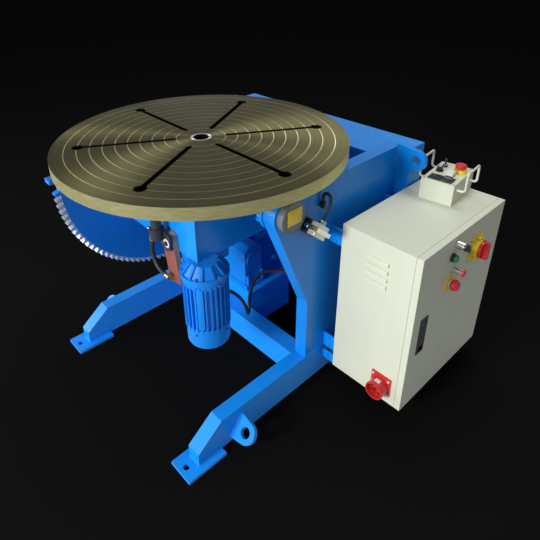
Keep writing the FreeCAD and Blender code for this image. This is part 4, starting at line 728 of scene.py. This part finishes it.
def makeCarriageBolts():
    ring = carriageBolts["bearing"]
    spots = circle(ring["centre"], ring["circle"], ring["count"])
    addBolts("spindleBearingBolts", "carriage", ring["across"], spots)
    for name in ("trunnionBolts", "sectorBolts"):
        ring, heads = carriageBolts[name], []
        for x, facing in ring["faces"]:
            spots = circle((x, tilt["y"], tilt["z"]), ring["circle"], ring["count"],
                           ring["start"], "YZ")
            heads.append(repeat(addHexBolt(ring["across"]), spots, facing))
        done(joinAll(heads), name, "carriage", zinc)


slewMotor = {"x": 0.17108, "y": -0.29267, "nuts": 6, "nutAcross": 0.009,
             "bellNuts": {"z": 0.5555, "circle": 0.0782},
             "flangeBolts": {"z": 0.5282, "circle": 0.0762},
             "pad": {"size": (0.008, 0.024, 0.17), "reach": 0.0785, "z": 0.436, "turn": -52},
             "lid": {"size": (0.088, 0.003, 0.064), "reach": 0.1095, "z": 0.502, "rim": 0.006,
                     "depth": 0.0012, "turn": 45},
             "lidScrews": {"radius": 0.0035, "reach": 0.108, "x": (-0.043, 0.043),
                           "z": (0.471, 0.533)},
             "cowlScrews": {"radius": 0.0035, "reach": 0.076, "z": 0.317, "count": 4, "start": 20},
             "band": {"radius": 0.0782, "height": 0.01, "z": 0.323}, "grilleZ": 0.257}


def makeSlewMotorFittings():
    x, y = slewMotor["x"], slewMotor["y"]
    centre, count, across = (x, y, 0), slewMotor["nuts"], slewMotor["nutAcross"]
    for name, facing in (("bellNuts", "Z"), ("flangeBolts", "-Z")):
        m = slewMotor[name]
        spots = circle((x, y, m["z"]), m["circle"], count)
        addBolts(name, "carriage", across, spots, facing, casting)
    m = slewMotor["pad"]
    pad = moved(addBlock(m["size"], 0.0022), (x + m["reach"], y, m["z"]))
    done(swung(pad, "Z", m["turn"], centre), "motorPad", "carriage", casting)
    m, turn = slewMotor["lidScrews"], slewMotor["lid"]["turn"]
    spots = [(x + aside, y + m["reach"], z) for aside in m["x"] for z in m["z"]]
    screws = swung(repeat(addSocketScrew(m["radius"]), spots, "Y"), "Z", turn, centre)
    done(screws, "terminalScrews", "carriage", zinc)
    m = slewMotor["lid"]
    lid = press(addBlock(m["size"], 0.0012), "Y", m["rim"], m["depth"])
    lid = swung(moved(lid, (x, y + m["reach"], m["z"])), "Z", turn, centre)
    done(lid, "terminalLidPress", "carriage", casting)
    m = slewMotor["cowlScrews"]
    screw = moved(addSocketScrew(m["radius"]), (x + m["reach"], y, m["z"]), "X")
    screws = around(screw, "Z", centre, m["count"], m["start"])
    done(screws, "cowlScrews", "carriage", darkSteel)
    m = slewMotor["band"]
    band = moved(addRound(m["radius"], m["height"], 56, 0.0012), (x, y, m["z"]))
    done(band, "cowlBand", "carriage", casting)
    makeGrille("slewGrille", "carriage", (x, y, slewMotor["grilleZ"]), "Z")


grille = {"rings": (0.012, 0.022, 0.032, 0.041), "wire": 0.0011, "spokes": 8,
          "spoke": (0.042, 0.0022, 0.0022), "spokeMiddle": (0.021, 0, 0.0012),
          "hubRadius": 0.008, "hubHeight": 0.003, "hubBase": (0, 0, -0.0015)}


def makeGrille(name, body, spot, facing):
    # round wires and spokes over a fan
    g, centre = grille, (0, 0, 0)
    wires = [addLoop(circle(centre, radius, 36), g["wire"], 1) for radius in g["rings"]]
    spoke = moved(addBlock(g["spoke"], 0.0004), g["spokeMiddle"])
    wires.append(around(spoke, "Z", centre, g["spokes"]))
    wires.append(moved(addRound(g["hubRadius"], g["hubHeight"], 24, 0.0006), g["hubBase"]))
    return done(moved(joinAll(wires), spot, facing), name, body, darkSteel)


makeCarriageBolts()
makeSlewMotorFittings()
print("carriage fittings made")


# tilting drive on the bed

gearbox = {"y": 0.077, "z": 0.331, "coverX": -0.008, "circle": 0.0445, "bolts": 6, "across": 0.009,
           "start": 0.5, "capRadius": 0.026, "capHeight": 0.004, "capRim": 0.006,
           "capDepth": 0.002, "feet": ((0.0005, 0.062, 0.2158), (0.0005, 0.098, 0.2158)),
           "footAcross": 0.012}
tiltMotor = {"x": -0.104, "z": 0.3, "flangeY": 0.249, "circle": 0.0765, "bolts": 4,
             "across": 0.011, "breather": (-0.105, 0.17, 0.398), "breatherAcross": 0.017,
             "screw": 0.0035, "screwReach": 0.076, "screwY": 0.437, "screws": 4, "screwStart": 45,
             "grilleY": 0.497}


def makeDriveFittings():
    g, m = gearbox, tiltMotor
    spots = circle((g["coverX"], g["y"], g["z"]), g["circle"], g["bolts"], g["start"], "YZ")
    addBolts("gearboxCoverBolts", "stand", g["across"], spots, "X")
    cap = addRound(g["capRadius"], g["capHeight"], 40, 0.0015)
    cap = moved(press(cap, "Z", g["capRim"], g["capDepth"]), (0, g["y"], g["z"]), "X")
    done(cap, "gearboxCap", "stand", casting)
    addBolts("gearboxFootBolts", "stand", g["footAcross"], g["feet"])
    spots = circle((m["x"], m["flangeY"], m["z"]), m["circle"], m["bolts"], math.pi / 4, "XZ")
    addBolts("motorFlangeBolts", "stand", m["across"], spots, "Y")
    addBolts("breatherPlug", "stand", m["breatherAcross"], [m["breather"]], "Z", brass)
    spot = (m["x"] + m["screwReach"], m["screwY"], m["z"])
    screws = around(moved(addSocketScrew(m["screw"]), spot, "X"), "Y", (m["x"], 0, m["z"]),
                    m["screws"], m["screwStart"])
    done(screws, "tiltCowlScrews", "stand", zinc)
    makeGrille("tiltGrille", "stand", (m["x"], m["grilleY"], m["z"]), "Y")


makeDriveFittings()
print("drive fittings made")


# earth contact on the carriage

earth = {"pivot": (0.043, 0, 0.556), "lean": -9,
         "board": {"x": 0.029, "z": (0.616, 0.638), "washerY": -0.344, "boltY": -0.3442,
                   "washer": 0.0095, "across": 0.009},
         "clamp": {"x": 0.049, "z": 0.624, "washerY": -0.3545, "boltY": -0.3575,
                   "washer": 0.0165, "across": 0.011},
         "collar": {"outer": 0.0262, "inner": 0.0194, "height": 0.006,
                    "base": (0.004, -0.362, 0.664)},
         "ferrule": {"radius": 0.0098, "height": 0.022, "base": (-0.034, -0.362, 0.602)},
         "pin": {"radius": 0.0062, "length": 0.018, "base": (-0.04, -0.362, 0.646)}}


def makeEarthFittings():
    e, lean, pivot = earth["board"], earth["lean"], earth["pivot"]
    spots = [(e["x"], e["washerY"], z) for z in e["z"]]
    washers = repeat(addRound(e["washer"], 0.002, 32, 0.0005), spots, "Y")
    washers = swung(washers, "Y", lean, pivot)
    done(washers, "boardWashers", "carriage", whiteNylon)
    spots = [(e["x"], e["boltY"], z) for z in e["z"]]
    bolts = swung(repeat(addHexBolt(e["across"]), spots, "-Y"), "Y", lean, pivot)
    done(bolts, "boardBolts", "carriage", zinc)
    e = earth["clamp"]
    washer = addRound(e["washer"], 0.003, 36, 0.0006)
    washer = moved(washer, (e["x"], e["washerY"], e["z"]), "-Y")
    done(washer, "clampWasher", "carriage", whiteNylon)
    spots = [(e["x"], e["boltY"], e["z"])]
    addBolts("clampBolt", "carriage", e["across"], spots, "-Y", darkSteel)
    e = earth["collar"]
    collar = addRound(e["outer"], e["height"], 40, 0.001)
    inner = moved(addRound(e["inner"], 0.02, 40, 0), (0, 0, -0.005))
    clearAll()
    collar.select_set(True)
    modify(collar, "BOOLEAN", object=inner, operation="DIFFERENCE", solver="EXACT")
    bpy.data.objects.remove(inner)
    done(moved(collar, e["base"]), "collarLip", "carriage", darkSteel)
    e = earth["ferrule"]
    sleeve = moved(addRound(e["radius"], e["height"], 28, 0.001), e["base"])
    done(sleeve, "leadFerrule", "carriage", brass)
    e = earth["pin"]
    pin = moved(addRound(e["radius"], e["length"], 20, 0.0015), e["base"], "-X")
    done(pin, "clampPin", "carriage", zinc)


makeEarthFittings()
print("earth contact fittings made")


# covers of the tilt shafts

shaftCover = {"radius": 0.0518, "height": 0.003, "x": 0.4308, "rim": 0.004, "depth": 0.002,
              "plate": (0.0015, 0.062, 0.054), "plateX": 0.4332, "plateOff": (0.003, 0.004),
              "rivet": 0.0016, "rivetHeight": 0.001, "rivetX": 0.4338, "rivetY": 0.026,
              "rivetZ": 0.022}


def makeCoverDetails():
    c = shaftCover
    for side, name, facing in ((1, "coverLipRight", "X"), (-1, "coverLipLeft", "-X")):
        lip = press(addRound(c["radius"], c["height"], 64, 0.001), "Z", c["rim"], c["depth"])
        lip = moved(lip, (side * c["x"], tilt["y"], tilt["z"]), facing)
        done(lip, name, "stand", greyEnamel)
    y, z = tilt["y"] + c["plateOff"][0], tilt["z"] + c["plateOff"][1]
    plate = moved(addBlock(c["plate"], 0.0005), (c["plateX"], y, z))
    done(plate, "coverPlate", "stand", yellowPlastic)
    spots = [(c["rivetX"], y + a, z + b) for a, b in corners(c["rivetY"], c["rivetZ"])]
    rivets = repeat(addRound(c["rivet"], c["rivetHeight"], 14, 0.0004), spots, "X")
    done(rivets, "coverRivets", "stand", zinc)


makeCoverDetails()
print("shaft covers made")


# cabinet: brackets, door, controls and inlet

brackets = {"x": (0.4102, 0.4648), "thick": 0.008, "screwAcross": 0.009, "screwReach": 0.03,
            "screwInset": 0.011,
            "plates": ((0.074, 0.082, 0.12), (0.074, 0.144, 0.204), (0.393, 0.144, 0.204),
                       (0.074, 0.615, 0.675), (0.393, 0.615, 0.675))}      # back, low, high


def makeBrackets():
    # plates between the upright and the cabinet, each with two screws
    near, far = brackets["x"]
    thick, inset = brackets["thick"], brackets["screwInset"]
    plates, spots = [], []
    for back, low, high in brackets["plates"]:
        plate = addBlock((far - near, thick, high - low), 0.0008)
        plates.append(moved(plate, ((near + far) / 2, back - thick / 2, (low + high) / 2)))
        spots += [(near + brackets["screwReach"], back - thick, z)
                  for z in (low + inset, high - inset)]
    piece = done(joinAll(plates), "bracketPlates", "stand", enamel)
    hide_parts("cabinet_brackets")
    addBolts("bracketScrews", "stand", brackets["screwAcross"], spots, "-Y", enamel)


doorEdge = {"beading": {"x": doorFace - 0.0008, "y": (0.0655, 0.5935), "z": (0.0795, 0.7035),
                        "radius": 0.0014},
            "gasket": {"x": 0.7335, "y": (0.0665, 0.5925), "z": (0.0805, 0.7025),
                       "radius": 0.0012}}
latch = {"y": 0.132, "z": 0.322, "lockX": doorFace - 0.0145, "lock": 0.0075, "lockHeight": 0.0035,
         "keyX": doorFace - 0.0108, "key": (0.001, 0.0018, 0.009), "grip": (0.0024, 0.024, 0.012),
         "gripX": doorFace + 0.0022, "gripZ": 0.352, "gripPitch": 0.018, "grips": 4}


def addStrip(e):
    return addLoop([(e["x"], y, z) for y, z in rectangle(e["y"], e["z"])], e["radius"])


def makeDoorDetails():
    done(addStrip(doorEdge["beading"]), "doorBeading", "door", cream, 60, "door_paint")
    done(addStrip(doorEdge["gasket"]), "doorGasket", "stand", rubber, 60)
    e = latch
    lock = addRound(e["lock"], e["lockHeight"], 28, 0.0006)
    done(moved(lock, (e["lockX"], e["y"], e["z"]), "X"), "latchLock", "door", chrome)
    key = moved(addBlock(e["key"], 0.0002), (e["keyX"], e["y"], e["z"]))
    done(key, "latchKeyway", "door", blackPlastic)
    spots = [(e["gripX"], e["y"], e["gripZ"] + e["gripPitch"] * step) for step in range(e["grips"])]
    done(repeat(addBlock(e["grip"]), spots), "latchGrips", "latch", blackPlastic)


mainsSwitch = {"y": 0.41, "z": 0.597, "screw": 0.0028, "screwX": doorFace + 0.0072,
               "screwY": 0.03, "screwZ": 0.036, "tower": 0.0372, "towerX": doorFace + 0.0198,
               "hole": 0.0042, "holeZ": 0.0395, "rim": 0.03, "rimX": doorFace + 0.0316,
               "rimBar": 0.0016, "mark": (0.0008, 0.0022, 0.014), "markX": doorFace + 0.0477,
               "markZ": 0.02}


def makeSwitchDetails():
    s, y, z = mainsSwitch, mainsSwitch["y"], mainsSwitch["z"]
    spots = [(s["screwX"], y + a, z + b) for a, b in corners(s["screwY"], s["screwZ"])]
    done(repeat(addSocketScrew(s["screw"]), spots, "X"), "switchScrews", "door", zinc)
    lip = moved(addRound(s["tower"], 0.004, 56, 0.0014), (s["towerX"], y, z), "X")
    done(lip, "switchTowerRing", "door", yellowPlastic)
    holes = repeat(addRound(s["hole"], 0.0008, 24, 0.0002),
                   [(s["towerX"], y, z + side * s["holeZ"]) for side in (-1, 1)], "X")
    done(holes, "padlockHoles", "door", blackPlastic)
    rim = addLoop(circle((0, 0, 0), s["rim"], 48, 0, "YZ"), s["rimBar"])
    done(moved(rim, (s["rimX"], y, z)), "handleRim", "mains_handle", redPlastic)
    mark = moved(addBlock(s["mark"], 0.0002), (s["markX"], y, z + s["markZ"]))
    done(mark, "handleMark", "mains_handle", whiteNylon)


caps = {"start": {"radius": 0.0132, "height": 0.007, "x": doorFace + 0.01205},
        "selectorMark": {"size": (0.0008, 0.0016, 0.009), "spot": (0.8022, 0.26, 0.6815)},
        "stop": {"radius": 0.0148, "height": 0.0024, "x": 0.7856}}


def makeButtonDetails():
    c, spot = caps["start"], startButton
    lens = addRound(c["radius"], c["height"], 40, 0.0034)
    done(moved(lens, (c["x"], spot["y"], spot["z"]), "X"), "startLens", "start", greenPlastic)
    c = caps["selectorMark"]
    mark = moved(addBlock(c["size"], 0.0002), c["spot"])
    done(mark, "selectorMark", "selector", whiteNylon)
    c, spot = caps["stop"], emergencyStop
    crown = addRound(c["radius"], c["height"], 40, 0.0012)
    crown = moved(crown, (c["x"], spot["y"], spot["z"]), "X")
    done(crown, "stopCrown", "emergency_stop", redPlastic)


inlet = {"x": 0.676, "plateZ": 0.152, "socketZ": 0.144, "screw": 0.0045, "screwReach": 0.0305,
         "screwY": 0.0584, "lip": 0.0325, "lipY": 0.0225, "lipBar": 0.0016,
         "label": (0.02, 0.016, 0.0015), "labelY": 0.04, "labelRise": 0.0333,
         "pin": 0.0027, "pins": 5, "pinCircle": 0.017, "pinY": 0.0262}


def makeInletDetails():
    e, x, z = inlet, inlet["x"], inlet["socketZ"]
    reach = e["screwReach"]
    spots = [(x + a, e["screwY"], e["plateZ"] + b) for a, b in corners(reach, reach)]
    screws = repeat(addSocketScrew(e["screw"]), spots, "-Y")
    done(screws, "inletScrews", "stand", whiteNylon)
    lip = addLoop(circle((x, e["lipY"], z), e["lip"], 48, 0, "XZ"), e["lipBar"])
    done(lip, "inletLip", "stand", redPlastic)
    label = moved(addBlock(e["label"], 0.0004), (x, e["labelY"], z + e["labelRise"]))
    done(label, "inletLabel", "stand", whiteNylon)
    spots = circle((x, e["pinY"], z), e["pinCircle"], e["pins"], math.pi / 2, "XZ")
    pins = repeat(addRound(e["pin"], 0.0012, 18, 0.0005), spots, "-Y")
    done(pins, "pinTips", "stand", brass)


makeBrackets()
makeDoorDetails()
makeSwitchDetails()
makeButtonDetails()
makeInletDetails()
print("cabinet details made")


# hand box, with places from its own front left corner

handBox = {"corner": (0.534, 0.402, 0.705), "turn": 6, "wide": 0.116, "deep": 0.179, "high": 0.077,
           "edge": 0.0015, "edgeBar": 0.0017, "window": (0.076, 0.032, 0.001), "windowY": 0.032,
           "screw": 0.0022, "screwInset": 0.006,
           "knob": {"x": 0.026, "y": 0.092, "mark": (0.0012, 0.009, 0.0006), "markY": 0.0965,
                    "cap": 0.0072, "flute": 0.0012, "fluteReach": 0.0088, "flutes": 14},
           "toggle": {"x": 0.026, "y": 0.142, "nut": 0.0078, "nutBar": 0.0012, "tip": 0.0044},
           "stop": {"x": 0.086, "y": 0.126, "crown": 0.0165, "ring": 0.0205, "ringBar": 0.0014},
           "feet": {"radius": 0.0075, "height": 0.0025, "pitch": 0.105, "drop": 0.022,
                    "rightY": 0.024, "leftY": 0.058},
           "gland": {"radius": 0.0085, "length": 0.016, "base": (0.0008, 0.128, 0.016)}}


def onHandBox(piece):
    piece.matrix_world = (Matrix.Translation(handBox["corner"])
                          @ Matrix.Rotation(math.radians(handBox["turn"]), 4, "Z")
                          @ piece.matrix_world)
    return settle(piece)


def makeHandBoxDetails():
    w, d, h, e = handBox["wide"], handBox["deep"], handBox["high"], handBox["edge"]
    route = [(x, y, h - 0.0005) for x, y in rectangle((e, w - e), (e, d - e))]
    edge = addLoop(route, handBox["edgeBar"])
    done(onHandBox(edge), "handBoxEdge", "stand", cream, 60)
    window = moved(addBlock(handBox["window"], 0.0003), (w / 2, handBox["windowY"], h + 0.004))
    done(onHandBox(window), "displayWindow", "stand", blackGlass)
    inset = handBox["screwInset"]
    spots = [(a, b, h) for a in (inset, w - inset) for b in (inset, d - inset)]
    screws = repeat(addSocketScrew(handBox["screw"]), spots)
    done(onHandBox(screws), "lidScrews", "stand", zinc)
    k = handBox["knob"]
    mark = moved(addBlock(k["mark"], 0.0001), (k["x"], k["markY"], h + 0.0202))
    done(onHandBox(mark), "knobMark", "speed_knob", whiteNylon)
    cap = moved(addRound(k["cap"], 0.0008, 32, 0.0003), (k["x"], k["y"], h + 0.0196))
    done(onHandBox(cap), "knobCap", "speed_knob", zinc)
    flute = addRound(k["flute"], 0.014, 10, 0.0003)
    flute = moved(flute, (k["x"] + k["fluteReach"], k["y"], h + 0.005))
    flutes = around(flute, "Z", (k["x"], k["y"], 0), k["flutes"])
    done(onHandBox(flutes), "knobFlutes", "speed_knob", blackPlastic)
    k = handBox["toggle"]
    nut = addLoop(circle((k["x"], k["y"], h + 0.0075), k["nut"], 28), k["nutBar"])
    done(onHandBox(nut), "toggleNut", "stand", zinc)
    tip = moved(addRound(k["tip"], 0.006, 20, 0.0016), (k["x"], k["y"], h + 0.0245))
    done(onHandBox(tip), "toggleTip", "toggle", blackPlastic)
    k = handBox["stop"]
    crown = moved(addRound(k["crown"], 0.0022, 40, 0.0012), (k["x"], k["y"], h + 0.0274))
    done(onHandBox(crown), "handStopCrown", "hand_stop", redPlastic)
    ring = addLoop(circle((k["x"], k["y"], h + 0.0112), k["ring"], 44), k["ringBar"])
    done(onHandBox(ring), "handStopRing", "stand", yellowPlastic)
    k, feet = handBox["feet"], []
    for x, facing, first in ((w - 0.0005, "X", k["rightY"]), (0.0005, "-X", k["leftY"])):
        for y in (first, first + k["pitch"]):
            foot = addRound(k["radius"], k["height"], 24, 0.0008)
            feet.append(moved(foot, (x, y, h - k["drop"]), facing))
    done(onHandBox(joinAll(feet)), "guardFeet", "stand", guardPaint)
    k = handBox["gland"]
    gland = moved(addRound(k["radius"], k["length"], 24, 0.0015), k["base"], "-X")
    done(onHandBox(gland), "handBoxGland", "stand", redPlastic)


makeHandBoxDetails()
print("hand box details made")


# plug on the upright

plug = {"y": -0.047, "z": 0.72, "turn": 50, "screw": 0.0022, "screwX": 0.4158,
        "screwY": 0.02, "screwZ": 0.0434, "step": (0.004, 0.04, 0.066), "stepX": 0.4634,
        "ring": 0.0122, "rings": 3, "ringX": 0.452, "ringY": 0.0262, "ringPitch": 0.0036,
        "seal": (0.0024, 0.047, 0.075), "sealX": 0.4402, "hub": 0.0075, "hubX": 0.43,
        "hubZ": 0.0408}


def atPlug(piece):
    return swung(piece, "X", plug["turn"], (0, plug["y"], plug["z"]))


def makePlugDetails():
    p, y, z = plug, plug["y"], plug["z"]
    spots = [(p["screwX"], y + a, z + b) for a, b in corners(p["screwY"], p["screwZ"])]
    screws = repeat(addSocketScrew(p["screw"]), spots, "X")
    done(atPlug(screws), "plugScrews", "stand", zinc)
    step = moved(addBlock(p["step"], 0.0012), (p["stepX"], y, z))
    done(atPlug(step), "hoodStep", "stand", dieCast)
    spots = [(p["ringX"], y + p["ringY"] + p["ringPitch"] * index, z)
             for index in range(p["rings"])]
    rings = repeat(addRound(p["ring"], 0.0022, 24, 0.0006), spots, "Y")
    done(atPlug(rings), "glandRings", "stand", dieCast)
    seal = moved(addBlock(p["seal"], 0.0008), (p["sealX"], y, z))
    done(atPlug(seal), "hoodSeal", "stand", rubber)
    hubs = []
    for side, facing in ((-1, "-Z"), (1, "Z")):
        hub = addRound(p["hub"], 0.0022, 28, 0.0006)
        hubs.append(moved(hub, (p["hubX"], y, z + side * p["hubZ"]), facing))
    done(atPlug(joinAll(hubs)), "leverHubs", "plug_bow", chrome)


makePlugDetails()
print("plug details made")


# cables held by the machine

cables = {
    "motorCable": {"node": "motor_cable", "radius": 0.007, "route": (
        (0.1394, -0.2052, 0.45), (0.1394, -0.2052, 0.428), (0.1425, -0.1995, 0.408),
        (0.15, -0.185, 0.39), (0.157, -0.16, 0.368), (0.154, -0.132, 0.332),
        (0.142, -0.102, 0.286), (0.126, -0.074, 0.234), (0.108, -0.05, 0.18),
        (0.096, -0.036, 0.154), (0.08, -0.017, 0.145), (0.066, -0.003, 0.156),
        (0.059, 0.005, 0.186), (0.066, 0.008, 0.236), (0.088, 0.006, 0.294),
        (0.124, 0.000, 0.35), (0.172, -0.006, 0.396), (0.23, -0.012, 0.432),
        (0.288, -0.014, 0.46), (0.34, 0.008, 0.478), (0.374, 0.048, 0.484),
        (0.388, 0.078, 0.484))},
    "brushLead": {"node": "brush_lead", "radius": 0.008, "route": (
        (-0.034, -0.362, 0.626), (-0.034, -0.362, 0.596), (-0.046, -0.362, 0.556),
        (-0.036, -0.362, 0.516), (-0.006, -0.362, 0.486), (0.033, -0.362, 0.486))},
    "plugCable": {"node": "plug_cable", "radius": 0.0055, "route": (
        (0.452, -0.0245, 0.74685), (0.452, -0.0071, 0.76758), (0.452, 0.005, 0.792),
        (0.452, 0.0085, 0.8146), (0.4426, 0.01, 0.824), (0.4294, 0.0105, 0.824),
        (0.42, 0.0105, 0.8146), (0.42, 0.0105, 0.79))}}


def makeCable(name):
    cable = cables[name]
    curve = newCurve(name, cable["radius"], 6)
    spline = addSpline(curve, "NURBS", cable["route"])
    spline.order_u, spline.use_endpoint_u, spline.resolution_u = 3, True, 10
    piece = place(name, curve)
    piece.data.materials.append(rubber.material)
    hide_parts(cable["node"])
    return piece


motorCable = asMesh(makeCable("motorCable"))
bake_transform(motorCable)
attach(makeCable("brushLead"), "carriage")
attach(makeCable("plugCable"), "stand")
print("cables made")


# floor and backdrop: dark to the camera, pale to the light

studio = {"floorSize": 60, "floor": (0.3, 0.31, 0.32), "dark": (0.006, 0.006, 0.006),
          "sky": (0.86, 0.88, 0.9), "skyPower": 0.34, "night": (0, 0, 0)}


def makeFloor():
    look = Finish("floor", Roughness=0.9)
    look.set("Base Color", studio["floor"])
    seen = look.add("LightPath").outputs["Is Camera Ray"]
    dark = look.add("BsdfDiffuse", None, {0: studio["dark"]})
    either = look.add("MixShader", None, {0: seen, 1: look.shader.outputs[0], 2: dark.outputs[0]})
    look.feed(look.nodes["Material Output"].inputs[0], either.outputs[0])
    clearAll()
    bpy.ops.mesh.primitive_plane_add(size=studio["floorSize"])
    floor = bpy.context.object
    floor.name = "floor"
    floor.data.materials.append(look.material)


def makeWorld():
    world = bpy.data.worlds.new("studio")
    scene.world = world
    tree = Tree(world)
    sky = tree.nodes["Background"]
    tree.feed(sky.inputs[0], studio["sky"])
    tree.feed(sky.inputs[1], studio["skyPower"])
    night = tree.add("Background", None, {0: studio["night"]})
    seen = tree.add("LightPath").outputs["Is Camera Ray"]
    either = tree.add("MixShader", None, {0: seen, 1: sky.outputs[0], 2: night.outputs[0]})
    tree.feed(tree.nodes["World Output"].inputs[0], either.outputs[0])


makeFloor()
makeWorld()
print("floor and backdrop made")
